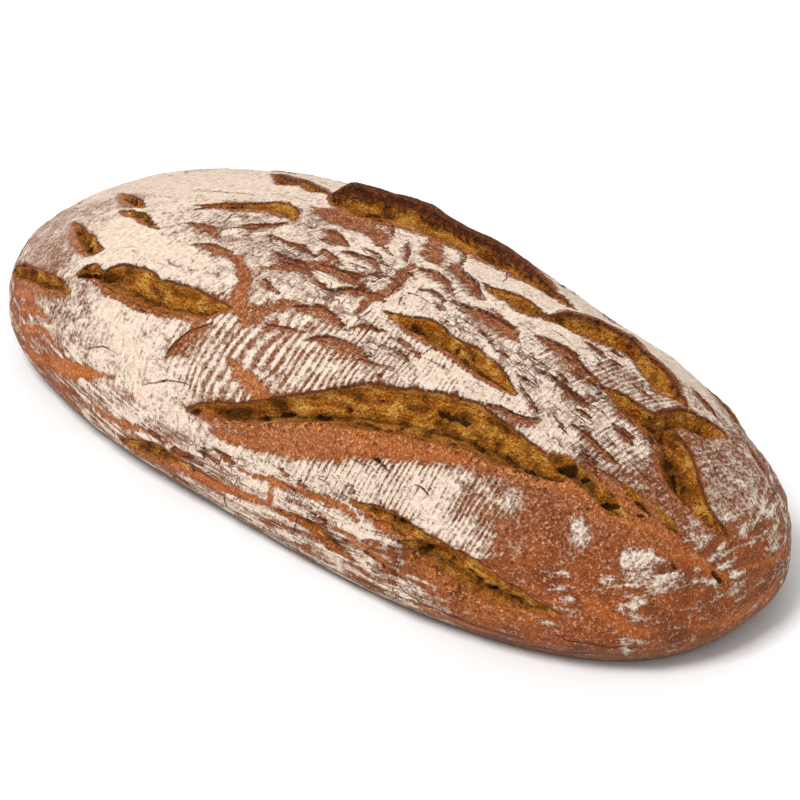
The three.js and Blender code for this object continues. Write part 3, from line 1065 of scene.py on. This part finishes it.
class Reading:
    """A number that changes over the surface, usable in sums."""

    def __init__(self, bench: "Bench", socket: bpy.types.NodeSocket) -> None:
        """Wraps a node's output.

        Args:
            bench: The material that the node is in.
            socket: The output.
        """
        self.bench = bench
        self.socket = socket

    def __add__(self, other: "Reading | float") -> "Reading":
        """Adds."""
        return self.bench.sum("ADD", self, other)

    __radd__ = __add__

    def __sub__(self, other: "Reading | float") -> "Reading":
        """Takes other away."""
        return self.bench.sum("SUBTRACT", self, other)

    def __rsub__(self, other: float) -> "Reading":
        """Takes this away from a number."""
        return self.bench.sum("SUBTRACT", other, self)

    def __mul__(self, other: "Reading | float") -> "Reading":
        """Multiplies."""
        return self.bench.sum("MULTIPLY", self, other)

    __rmul__ = __mul__

    def most(self, other: "Reading | float") -> "Reading":
        """Returns the larger of the two."""
        return self.bench.sum("MAXIMUM", self, other)

    def step(self, low: float, high: float) -> "Reading":
        """Makes a soft step of this reading.

        Args:
            low: Where it starts.
            high: Where it ends.

        Returns:
            A reading that goes from 0 at low to 1 at high.
        """
        limits = {"Value": self, "From Min": low, "From Max": high}
        node = self.bench.node("ShaderNodeMapRange", {"interpolation_type": "SMOOTHSTEP"}, limits)
        return Reading(self.bench, node.outputs["Result"])


class Bench:
    """A material's node tree and the few ways in which this file adds to it."""

    def __init__(self, name: str) -> None:
        """Starts a material with nothing but its output and shader.

        Args:
            name: The material's name.
        """
        self.material = bpy.data.materials.new(name)
        self.material.use_nodes = True
        self.tree = self.material.node_tree
        self.shader = self.tree.nodes["Principled BSDF"]

    def node(self, kind: str, settings: dict | None = None, inputs: dict | None = None) -> bpy.types.Node:
        """Adds a node.

        Args:
            kind: The node's type.
            settings: Its settings, which are set first.
            inputs: Values, readings or sockets for its inputs, by name or number.

        Returns:
            The node.
        """
        made = self.tree.nodes.new(kind)
        for name, value in (settings or {}).items():
            setattr(made, name, value)
        for name, value in (inputs or {}).items():
            self.feed(made.inputs[name], value)
        return made

    def feed(self, socket: bpy.types.NodeSocket, value: object) -> None:
        """Links a reading or an output to an input, or sets the input's own value.

        Args:
            socket: The input.
            value: The reading, output or value.
        """
        if isinstance(value, Reading):
            self.tree.links.new(value.socket, socket)
        elif isinstance(value, bpy.types.NodeSocket):
            self.tree.links.new(value, socket)
        else:
            socket.default_value = value

    def sum(self, operation: str, first: Reading | float, second: Reading | float) -> Reading:
        """Works out one step of a sum on two values."""
        made = self.node("ShaderNodeMath", {"operation": operation}, {0: first, 1: second})
        return Reading(self, made.outputs[0])

    def field(self, name: str) -> Reading:
        """Reads one of the piece's own number fields."""
        return Reading(self, self.node("ShaderNodeAttribute", {"attribute_name": name}).outputs["Fac"])

    def stretch(self, vector: bpy.types.NodeSocket, scale: Sequence[float]) -> bpy.types.NodeSocket:
        """Returns a vector multiplied by one number for each axis."""
        made = self.node("ShaderNodeVectorMath", {"operation": "MULTIPLY"}, {0: vector, 1: scale})
        return made.outputs[0]

    def speckle(self, vector: bpy.types.NodeSocket, scale: float, detail: float = 2.0) -> Reading:
        """Adds soft noise.

        Args:
            vector: Where the noise is read.
            scale: Its lumps in each unit.
            detail: How many finer layers it has.

        Returns:
            A reading of about -1 to 1.
        """
        inputs = {"Vector": vector, "Scale": scale, "Detail": detail, "Roughness": 0.6}
        spread, middle = 3.4, 0.5
        noise_node = self.node("ShaderNodeTexNoise", None, inputs)
        return spread * (Reading(self, noise_node.outputs["Fac"]) - middle)

    def blend(self, share: Reading | float, first: object, second: object) -> bpy.types.NodeSocket:
        """Returns a colour between two."""
        settings = {"data_type": "RGBA", "clamp_factor": True}
        return self.node("ShaderNodeMix", settings, {0: share, 6: first, 7: second}).outputs[2]


@dataclass(frozen=True)
class Noises:
    """What every part of the loaf's finish reads.

    Attributes:
        place: Object coordinates.
        skin: Places on the flat skin, in millimetres, with the distance from the crown third.
        fine: Fine noise.
        middle: Middling noise.
        broad: Broad noise.
        low: How low on the side a place is, 0 to 1.
        drawn: Noise drawn out across the top and along the sides.
    """

    place: bpy.types.NodeSocket
    skin: bpy.types.NodeSocket
    fine: Reading
    middle: Reading
    broad: Reading
    low: Reading
    drawn: Reading


@dataclass(frozen=True)
class BakedCrust:
    """The finish of the whole loaf: baked skin, flour, open crumb and charred edges, with painted shade
    along the splits' edges, in the crumb's hollows and pits and under the tuck.

    Attributes:
        fine_lumps: The fine noise's lumps in each metre.
        middle_lumps: The middling noise's.
        broad_lumps: The broad noise's.
        roughness: Roughness of the bare crust.
        specular: How much it shines.
        relief_depth: Height in metres of the finish's own relief.
    """

    crust_deep: tuple = tint(72, 30, 10)
    crust_dark: tuple = tint(112, 54, 24)
    crust: tuple = tint(172, 104, 64)
    crust_light: tuple = tint(228, 178, 138)
    blush: tuple = tint(208, 164, 146)
    low_crust: tuple = tint(184, 96, 40)
    amber: tuple = tint(206, 116, 50)
    flour: tuple = tint(244, 226, 206)
    flour_shade: tuple = tint(212, 178, 156)
    crumb_brown: tuple = tint(166, 88, 18)
    crumb: tuple = tint(222, 142, 42)
    crumb_bright: tuple = tint(248, 196, 104)
    # dark olive: the crumb's own olive patches, also painted shade in its hollows and along its valley
    crumb_olive_and_shade: tuple = tint(98, 62, 8)
    heel: tuple = tint(178, 100, 42)
    # near black: painted shade at the bottom of the pits and the crumb's pores
    painted_hole_shade: tuple = tint(40, 14, 0)
    # dark brown: painted shadow along the splits' edges, partly the edges' own dark crust
    line: tuple = tint(72, 30, 8)
    char: tuple = tint(66, 32, 16)
    # greyish brown: the base's own colour with painted shade where the foot tucks under
    base: tuple = tint(120, 96, 80)
    fine_lumps: float = 1100
    middle_lumps: float = 520
    broad_lumps: float = 70
    roughness: float = 0.58
    specular: float = 0.16
    relief_depth: float = 0.002

    def make(self) -> bpy.types.Material:
        """Builds the material.

        Returns:
            The material, which reads the crust's own fields and Object coordinates.
        """
        bench = Bench("baked_crust")
        noises = self._noises(bench)
        fine, middle, drawn = noises.fine, noises.middle, noises.drawn

        crazed = self._crazing(bench, noises)
        flour = self._flour(bench, noises) * (1 - 0.9 * crazed)
        worn = (-1 * bench.field("level")).step(0.1, 0.9)
        open_crumb = bench.field("open") - 2.2 * worn + (0.9 + 0.9 * worn) * middle + 0.5 * fine
        open_crumb = open_crumb.step(-0.3, 0.8)
        line = self._edge_shadows(bench, noises)
        pit = (bench.field("pit") + 0.7 * middle + 0.35 * fine).step(-0.1, 1.0)

        colour = self._crust_colour(bench, noises)
        colour = bench.blend(crazed * 0.6, colour, self.crust_dark)
        thickness = (0.5 * fine + 0.7 * middle + 0.5 * drawn).step(-1.0, 0.7)
        shade = bench.blend(thickness, self.flour_shade, self.flour)
        thin = 1 - bench.field("veil") * (0.1 + 0.25 * middle)
        colour = bench.blend(flour * thin, colour, shade)
        colour = bench.blend(open_crumb, colour, self._crumb_colour(bench, noises))
        burnt = (bench.field("char") * 1.2 + 0.9 * middle + 0.4 * fine + 0.3 * drawn).step(0.5, 1.3)
        colour = bench.blend(burnt * 0.85, colour, self.char)
        # the splits' edges: a dark line of painted shadow, partly the edges' own dark crust
        colour = bench.blend(line, colour, self.line)
        # pits: painted shade in the holes
        colour = bench.blend(pit * 0.92, colour, self.painted_hole_shade)
        # the base and the tucked foot: their own colour with painted shade
        colour = bench.blend(bench.field("under") * 0.6, colour, self.base)

        bench.feed(bench.shader.inputs["Base Color"], colour)
        rough = self.roughness + 0.34 * flour.most(open_crumb) + 0.05 * fine
        bench.feed(bench.shader.inputs["Roughness"], rough)
        bench.feed(bench.shader.inputs["Specular IOR Level"], self.specular)
        relief = 0.4 * flour + 0.2 * (1 - 0.5 * flour) * fine + 0.25 * middle + 0.2 * drawn - 0.5 * crazed
        relief = relief + open_crumb * (0.6 * middle + 0.3 * fine) - 0.7 * line - 0.9 * pit
        sizes = {"Strength": 1.0, "Distance": self.relief_depth, "Height": relief}
        bump = bench.node("ShaderNodeBump", None, sizes)
        bench.feed(bench.shader.inputs["Normal"], bump.outputs["Normal"])
        return bench.material

    def _noises(self, bench: Bench) -> Noises:
        """Sets out the noises that the whole finish shares.

        Args:
            bench: The material.

        Returns:
            The noises.
        """
        place = bench.node("ShaderNodeTexCoord").outputs["Object"]
        skin = bench.node("ShaderNodeAttribute", {"attribute_name": "skin"}).outputs["Vector"]
        fine = bench.speckle(place, self.fine_lumps, 2)
        middle = bench.speckle(place, self.middle_lumps, 3)
        broad = bench.speckle(place, self.broad_lumps, 3)
        brushed = bench.speckle(bench.stretch(skin, (0.6, 0.13, 0)), 1.0, 3)
        wrinkled = bench.speckle(bench.stretch(skin, (0.05, 0.09, 0.75)), 1.0, 3)
        low = bench.field("low")
        drawn = brushed * (1 - low) + 1.2 * wrinkled * low
        return Noises(place, skin, fine, middle, broad, low, drawn)

    def _edge_shadows(self, bench: Bench, noises: Noises) -> Reading:
        """Draws a dark line along the splits' edges, broken by fine and middling noise: painted shadow
        under each edge, partly the edge's own dark crust.

        Args:
            bench: The material.
            noises: What every part of the finish reads.

        Returns:
            How strongly the edge's painted shadow shows, 0 to 1.
        """
        fine, middle = noises.fine, noises.middle
        gap = bench.sum("ABSOLUTE", bench.field("verge") + 0.22 * middle, 0.0)
        drawn = (1 - gap.step(0.2, 0.75)) * (1 - bench.field("edge").step(1.2, 2.2))
        return drawn * (0.7 * middle + 0.5 * fine).step(-0.6, 0.45)

    def _crazing(self, bench: Bench, noises: Noises) -> Reading:
        """Breaks the flour with short cracks.

        Args:
            bench: The material.
            noises: What every part of the finish reads.

        Returns:
            How open the cracks are, 0 to 1.
        """
        skin, fine, middle = noises.skin, noises.fine, noises.middle
        patches = bench.speckle(bench.stretch(skin, (0.07, 0.11, 0)), 1.0, 2)
        where = 0.7 * bench.field("crazed") + 0.7 * patches - 0.35
        cracks = None
        for scale, width in (((0.07, 0.27, 0), 0.13), ((0.29, 0.1, 0), 0.1)):
            wave = bench.speckle(bench.stretch(skin, scale), 1.0, 1) + 0.05 * fine
            gap = bench.sum("ABSOLUTE", wave, 0.0)
            lines = (1 - gap.step(0.3 * width, 1.3 * width)) * (where + 0.7 * middle).step(0.0, 0.7)
            cracks = lines if cracks is None else cracks.most(lines)
        return cracks

    def _flour(self, bench: Bench, noises: Noises) -> Reading:
        """Lays the flour, combed and patchy.

        Args:
            bench: The material.
            noises: What every part of the finish reads.

        Returns:
            How much of it hides the crust, 0 to 1.
        """
        skin, fine, middle = noises.skin, noises.fine, noises.middle
        drawn = (0.16 + 0.34 * noises.low) * noises.drawn
        rows = bench.speckle(bench.stretch(skin, (0.6, 0.05, 0)), 1.0, 1)
        ripple = bench.speckle(bench.stretch(skin, (0.09, 0.045, 0)), 1.0, 1)
        parts = bench.node("ShaderNodeSeparateXYZ", None, {0: skin})
        along = Reading(bench, parts.outputs["X"])
        ridges = bench.sum("SINE", COMB_TURN * along + 2.6 * ripple, 0.0)
        specks = bench.speckle(noises.place, 800, 1)
        cover = bench.field("cover")
        combed = bench.field("combed")
        patches = bench.speckle(bench.stretch(skin, (0.1, 0.13, 0)), 1.0, 2)
        amount = cover + combed * (0.2 * rows + 0.24 * ridges) + 0.22 * patches
        amount = amount + drawn + 0.22 * middle + 0.14 * fine
        return amount.step(0.3, 0.8).most((specks + 0.4 * cover).step(0.8, 1.2) * 0.7)

    def _crust_colour(self, bench: Bench, noises: Noises) -> bpy.types.NodeSocket:
        """Mottles the baked skin.

        Args:
            bench: The material.
            noises: What every part of the finish reads.

        Returns:
            The skin's colour.
        """
        fine, middle, broad, drawn = noises.fine, noises.middle, noises.broad, noises.drawn
        mottle = (0.9 * middle + 1.1 * fine + 0.4 * broad + 0.3 * drawn).step(-0.9, 0.7)
        colour = bench.blend(mottle, self.crust_dark, self.crust)
        low = bench.blend(mottle * 0.7 + 0.3, self.crust_dark, self.low_crust)
        colour = bench.blend(bench.field("low") * 0.8, colour, low)
        blotch = bench.field("low") * (0.3 + 1.3 * broad + 0.5 * middle + 0.4 * fine)
        colour = bench.blend(blotch.step(0.1, 1.0) * 0.6, colour, self.crust_deep)
        apron = bench.field("apron")
        stretched = apron + 0.35 * middle + 0.3 * fine
        colour = bench.blend(stretched.step(0.15, 0.9) * 0.5, colour, self.heel)
        grains = apron * (0.6 + 0.9 * middle + 0.7 * fine + 0.5 * broad)
        colour = bench.blend(grains.step(0.5, 1.3) * 0.6, colour, self.crumb)
        scorched = apron * (0.6 - 0.9 * middle - 0.7 * fine + 0.4 * broad)
        colour = bench.blend(scorched.step(0.6, 1.2) * 0.8, colour, self.crust_deep)
        colour = bench.blend(bench.field("amber") * (0.75 + 0.4 * middle + 0.4 * fine), colour, self.amber)
        pale = (1.2 * fine + 0.8 * middle + 0.3 * drawn).step(0.3, 1.0) * 0.85
        colour = bench.blend(pale, colour, self.crust_light)
        dots = (0.6 * middle + 1.3 * fine + 0.3 * drawn).step(-1.3, -0.7)
        colour = bench.blend(0.7 - 0.7 * dots, colour, self.crust_deep)
        return bench.blend(bench.field("veil") * (0.6 + 0.3 * middle), colour, self.blush)

    def _crumb_colour(self, bench: Bench, noises: Noises) -> bpy.types.NodeSocket:
        """Colours the torn crumb, with painted light on its raised lumps and painted shade in its hollows,
        pores and valley.

        Args:
            bench: The material.
            noises: What every part of the finish reads.

        Returns:
            The crumb's colour.
        """
        fine, middle, broad = noises.fine, noises.middle, noises.broad
        flow = bench.node("ShaderNodeAttribute", {"attribute_name": "flow"}).outputs["Vector"]
        fibres = bench.speckle(bench.stretch(flow, (0.25, 0.8, 1)), 1.0, 3)
        lump = bench.field("lump")
        level = bench.field("level")
        # tone and pale rise with the relief: painted light on the raised lumps, mixed with random tone
        tone = (0.9 * fibres + 0.9 * fine + 0.7 * middle + 0.5 * lump).step(-0.8, 0.5)
        colour = bench.blend(tone, self.crumb_brown, self.crumb)
        pale = (0.9 * fine + 0.8 * middle + 0.7 * fibres + 0.4 * lump).step(0.05, 0.95) * 0.9
        colour = bench.blend(pale, colour, self.crumb_bright)
        heel = (-1 * level + 0.35 * middle + 0.2 * broad).step(0.1, 0.9)
        colour = bench.blend(heel * 0.8, colour, self.heel)
        # olive patches, with painted shade where the crumb's relief is low
        olive_and_hollow_shade = (-0.7 * lump + 0.9 * fibres + 0.8 * middle + 0.5 * broad).step(0.1, 0.9)
        colour = bench.blend(olive_and_hollow_shade * 0.8, colour, self.crumb_olive_and_shade)
        # pores: painted shade where the crumb's relief is low and along the valley's furrow
        pore_shade = (-0.6 * lump + 1.2 * middle + 0.7 * bench.field("deep")).step(0.8, 1.2)
        colour = bench.blend(pore_shade * 0.85, colour, self.painted_hole_shade)
        # crease: painted shade along the burst's valley
        crease = (bench.field("deep") + 0.5 * fibres + 0.35 * middle).step(0.4, 1.1)
        return bench.blend(crease * 0.9, colour, self.crumb_olive_and_shade)


@dataclass(frozen=True)
class PlainFloor:
    """The pale, matt floor."""

    colour: tuple = (0.94, 0.94, 0.94, 1.0)
    roughness: float = 0.9

    def make(self) -> bpy.types.Material:
        """Builds the material.

        Returns:
            The material.
        """
        bench = Bench("pale_floor")
        bench.feed(bench.shader.inputs["Base Color"], self.colour)
        bench.feed(bench.shader.inputs["Roughness"], self.roughness)
        return bench.material


# ---------------------------------------------------------------------------------------------------------
# The loaf
# ---------------------------------------------------------------------------------------------------------


@dataclass
class Loaf:
    """The whole loaf, modelled as one closed crust.

    Attributes:
        low: Lowest corner of the space it fills, in metres.
        high: Highest corner.
        sheet: Cells along and across the sheet that becomes the skin.
        rings: How far in the base's rings stand, as shares of the rim.
        plain_foot: Where the relief fades out towards the foot, as radii on the flat skin.
        still_foot: Where the skin's slip fades out.
        low_side: Where the crust turns to that of the lower side.
        under_side: Where the crust turns to the base's colour, which also paints shade where the foot tucks
            under.
    """

    low: Vector
    high: Vector
    sheet: tuple[int, int] = (416, 210)
    rings: tuple[float, ...] = (0.985, 0.9, 0.6)
    plain_foot: tuple[float, float] = (0.88, 0.962)
    still_foot: tuple[float, float] = (0.86, 0.95)
    low_side: tuple[float, float] = (0.68, 0.8)
    under_side: tuple[float, float] = (0.9, 0.96)

    def mark(self, skin: Skin) -> None:
        """Tears, pits and dusts the skin.

        Args:
            skin: The skin to mark.
        """
        splits = [*STRIPS, *TEARS, *CRACKS, *strewn_scales(random.Random(SEED)), *BURSTS]
        for split in splits:
            split.press(skin)
        for pit in PITS:
            pit.press(skin)
        sieve(DUSTINGS, skin)
        for along, across, reach in CRAZED:
            gap = (skin.places - [along, across]) / reach
            skin.crazed = np.maximum(skin.crazed, np.exp(-(gap**2).sum(1)))

    def relief(self, skin: Skin) -> np.ndarray:
        """Adds up what stands above the smooth dough.

        Args:
            skin: The skin to mark.

        Returns:
            Its height at each place, in millimetres.
        """
        crumb = smooth(skin.open, 0, 2.0)
        folds = grain(skin.flow[:, :2] * [0.45, 1.0], size=3.8, seed=23.1)
        coarse = grain(skin.places, size=5.5, seed=31.9)
        skin.lump = 1.5 * folds + 1.0 * coarse + 0.6 * grain(skin.places, size=2.6, seed=29.7)
        raised = skin.raised * (1 - smooth(skin.open, -1.4, 1.2))
        raised = raised * (1 + 0.3 * grain(skin.places, size=10, seed=71.7))
        ridges = 0.2 * skin.combed * np.sin(COMB_TURN * skin.places[:, 0])
        broad = grain(skin.places, size=13, seed=53.1)
        crust = 0.5 * broad + 0.35 * grain(skin.places, size=4.5, seed=59.3)
        height = skin.height + raised - skin.sunk + crumb * skin.lump + ridges * (1 - skin.bare)
        height = height + (1 - crumb) * crust * (1 + 0.6 * skin.bare)
        return height * (1 - smooth(skin.radius, *self.plain_foot))

    def build(self) -> bpy.types.Object:
        """Models the crust.

        Returns:
            The crust, not yet dressed.
        """
        dough = Dough.inside(self.high - self.low)
        shell = bmesh.new()
        bmesh.ops.create_grid(shell, x_segments=self.sheet[0], y_segments=self.sheet[1], size=1)
        shell.verts.ensure_lookup_table()
        square = np.array([vert.co[:2] for vert in shell.verts])
        skin = Skin(dough.lay(square), dough)
        self.mark(skin)
        height = self.relief(skin)
        slipped = skin.places + skin.slip * (1 - smooth(skin.radius, *self.still_foot))[:, None]
        points = dough.surface(slipped) + dough.outward(slipped) * height[:, None]
        for vert, point in zip(shell.verts, points * MM):
            vert.co = point
        self._close_base(shell)
        bmesh.ops.recalc_face_normals(shell, faces=shell.faces)
        self._fit(shell)
        mesh = bpy.data.meshes.new("loaf_crust")
        shell.to_mesh(mesh)
        shell.free()
        mesh.shade_smooth()
        self._keep_fields(mesh, skin)
        piece = bpy.data.objects.new("loaf_crust", mesh)
        bpy.context.scene.collection.objects.link(piece)
        return piece

    def _close_base(self, shell: bmesh.types.BMesh) -> None:
        """Closes the flat base under the rim with rings and a last face.

        Args:
            shell: The loaf's shell.
        """
        rim = [edge for edge in shell.edges if edge.is_boundary]
        before = 1.0
        for share in self.rings:
            made = bmesh.ops.extrude_edge_only(shell, edges=rim)["geom"]
            verts = [item for item in made if isinstance(item, bmesh.types.BMVert)]
            rim = [item for item in made if isinstance(item, bmesh.types.BMEdge) and item.is_boundary]
            ratio = share / before
            bmesh.ops.scale(shell, vec=(ratio, ratio, 1), verts=verts)
            before = share
        bmesh.ops.triangle_fill(shell, use_beauty=True, edges=rim)

    def _fit(self, shell: bmesh.types.BMesh) -> None:
        """Brings the shell's box to the loaf's own, which the tears' lips would exceed a little.

        Args:
            shell: The loaf's shell.
        """
        corners = np.array([vert.co for vert in shell.verts])
        low, high = Vector(corners.min(0)), Vector(corners.max(0))
        size, target = high - low, self.high - self.low
        ratio = [target[axis] / size[axis] for axis in range(3)]
        bmesh.ops.translate(shell, vec=-low, verts=shell.verts)
        bmesh.ops.scale(shell, vec=ratio, verts=shell.verts)
        bmesh.ops.translate(shell, vec=self.low, verts=shell.verts)
        log.info("fitted by %.4f %.4f %.4f", *ratio)

    def _keep_fields(self, mesh: bpy.types.Mesh, skin: Skin) -> None:
        """Stores on the mesh what the finish reads.

        Args:
            mesh: The loaf's mesh, whose first vertices are the skin's.
            skin: The marked skin.
        """
        count = len(mesh.vertices)
        spare = count - len(skin.places)
        low = smooth(skin.radius, *self.low_side)
        along, across = skin.places.T
        left_end = 0.75 * smooth(-along, 95, 155) * (1 - 0.6 * smooth(across, 0, 40))
        worn = np.maximum(skin.bare, skin.char)
        far_edge = 6.0
        outside = 100.0
        fields = {
            "cover": (skin.cover * (1 - 0.92 * worn) - 0.08 * worn, 0.5),
            "combed": (skin.combed * (1 - 0.5 * skin.bare), 0.0),
            "open": (skin.open, -FAR),
            "edge": (skin.edge, FAR),
            "pit": (skin.pit, -FAR),
            "deep": (skin.deep, 0.0),
            "char": (skin.char, 0.0),
            "level": (skin.level, 0.0),
            "lump": (skin.lump, 0.0),
            "apron": (skin.apron, 0.0),
            "crazed": (skin.crazed, 0.0),
            "verge": (np.clip(skin.verge, -far_edge, far_edge), far_edge),
            "amber": (skin.amber, 0.0),
            "low": (low, 1.0),
            "veil": (left_end * (1 - low), 0.0),
            "under": (smooth(skin.radius, *self.under_side), 1.0),
        }
        for name, (values, rest) in fields.items():
            whole = np.concatenate([values, np.full(spare, rest)])
            mesh.attributes.new(name, "FLOAT", "POINT").data.foreach_set("value", whole.astype(np.float32))
        spots = np.column_stack([skin.places, outside * skin.radius])
        for name, values in {"skin": spots, "flow": skin.flow}.items():
            whole = np.vstack([values, np.full((spare, 3), outside)]).astype(np.float32)
            mesh.attributes.new(name, "FLOAT_VECTOR", "POINT").data.foreach_set("vector", whole.ravel())

    def dress(self, piece: bpy.types.Object) -> None:
        """Gives the crust its finish and its place in the frame.

        Args:
            piece: The crust.
        """
        piece.data.materials.append(BakedCrust().make())
        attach(piece, "root")
        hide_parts("loaf")


# ---------------------------------------------------------------------------------------------------------
# The studio
# ---------------------------------------------------------------------------------------------------------


@dataclass(frozen=True)
class Lamp:
    """A square soft light that faces the loaf.

    Attributes:
        name: Its name.
        azimuth: Its angle round the loaf, in degrees, as the camera's.
        elevation: Its angle above the floor.
        side: Its side in metres.
        power: Its power in watts.
        distance: How far from the loaf it hangs, in metres.
    """

    name: str
    azimuth: float
    elevation: float
    side: float
    power: float
    distance: float = 1.6

    def hang(self) -> None:
        """Hangs the light."""
        data = bpy.data.lights.new(self.name, "AREA")
        data.size = self.side
        data.energy = self.power
        holder = bpy.data.objects.new(self.name, data)
        face_loaf(holder, Vector(), self.azimuth, self.elevation, self.distance)


def face_loaf(
    holder: bpy.types.Object, target: Vector, azimuth: float, elevation: float, distance: float
) -> None:
    """Puts a camera or a light in the scene, facing a point.

    Args:
        holder: The camera or light.
        target: The point.
        azimuth: Its angle round the point, in degrees, from the front towards the right end.
        elevation: Its angle above the floor.
        distance: How far from the point it is.
    """
    turn, tilt = math.radians(azimuth), math.radians(elevation)
    back = Vector((math.sin(turn) * math.cos(tilt), -math.cos(turn) * math.cos(tilt), math.sin(tilt)))
    holder.location = target + back * distance
    holder.rotation_euler = back.to_track_quat("Z", "Y").to_euler()
    bpy.context.scene.collection.objects.link(holder)


@dataclass
class Studio:
    """A pale floor, soft lights and the camera, placed round the loaf's box.

    Attributes:
        low: Lowest corner of the loaf's box, in metres.
        high: Highest corner.
        azimuth: The camera's angle round the loaf, in degrees.
        elevation: Its angle above the floor.
        distance: How far it is from the point it faces.
        lens: Its focal length in millimetres.
        sensor: Its sensor's width in millimetres.
        aim: Where it faces, as shares of the box: from the middle along and across, and up from the floor.
        floor_half: Half the floor's side.
        floor_gap: How far the floor lies under the loaf.
        room_light: Strength of the even light all round.
        lamps: The soft lights.
    """

    low: Vector
    high: Vector
    azimuth: float = 46.9
    elevation: float = 31.2
    distance: float = 1.049
    lens: float = 120.0
    sensor: float = 36.0
    aim: tuple[float, float, float] = (0.0875, -0.106, 0.449)
    floor_half: float = 4.0
    floor_gap: float = 0.0002
    room_light: float = 0.56
    lamps: tuple[Lamp, ...] = (Lamp("key", 0, 62, 0.6, 18.5), Lamp("fill", 215, 52, 1.0, 4))

    def floor(self) -> None:
        """Lays the floor."""
        sheet = bmesh.new()
        bmesh.ops.create_grid(sheet, x_segments=1, y_segments=1, size=self.floor_half)
        bmesh.ops.translate(sheet, vec=(0, 0, self.low.z - self.floor_gap), verts=sheet.verts)
        mesh = bpy.data.meshes.new("floor")
        sheet.to_mesh(mesh)
        sheet.free()
        mesh.materials.append(PlainFloor().make())
        piece = bpy.data.objects.new("floor", mesh)
        bpy.context.scene.collection.objects.link(piece)

    def camera(self) -> None:
        """Sets up the camera."""
        size = self.high - self.low
        start = (self.low + self.high) / 2
        start.z = self.low.z
        target = start + Vector([share * side for share, side in zip(self.aim, size)])
        data = bpy.data.cameras.new("camera")
        data.lens = self.lens
        data.sensor_width = self.sensor
        holder = bpy.data.objects.new("camera", data)
        face_loaf(holder, target, self.azimuth, self.elevation, self.distance)
        bpy.context.scene.camera = holder

    def lights(self) -> None:
        """Lights the room evenly, with a soft key in front and a weak fill behind."""
        world = bpy.data.worlds.new("room")
        world.use_nodes = True
        room = world.node_tree.nodes["Background"]
        room.inputs["Color"].default_value = (1, 1, 1, 1)
        room.inputs["Strength"].default_value = self.room_light
        bpy.context.scene.world = world
        for lamp in self.lamps:
            lamp.hang()


def main() -> None:
    """Builds the loaf in its studio, and keeps the box before and after."""
    logging.basicConfig(level=logging.INFO, format="%(name)s: %(message)s")
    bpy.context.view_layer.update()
    bpy.context.scene.view_settings.view_transform = "Standard"
    low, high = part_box("loaf")
    studio = Studio(low, high)
    studio.camera()
    studio.floor()
    studio.lights()
    loaf = Loaf(low, high)
    crust = loaf.build()
    loaf.dress(crust)
    log.info("%s: %d vertices, %d faces", crust.name, len(crust.data.vertices), len(crust.data.polygons))


if __name__ == "__main__":
    main()
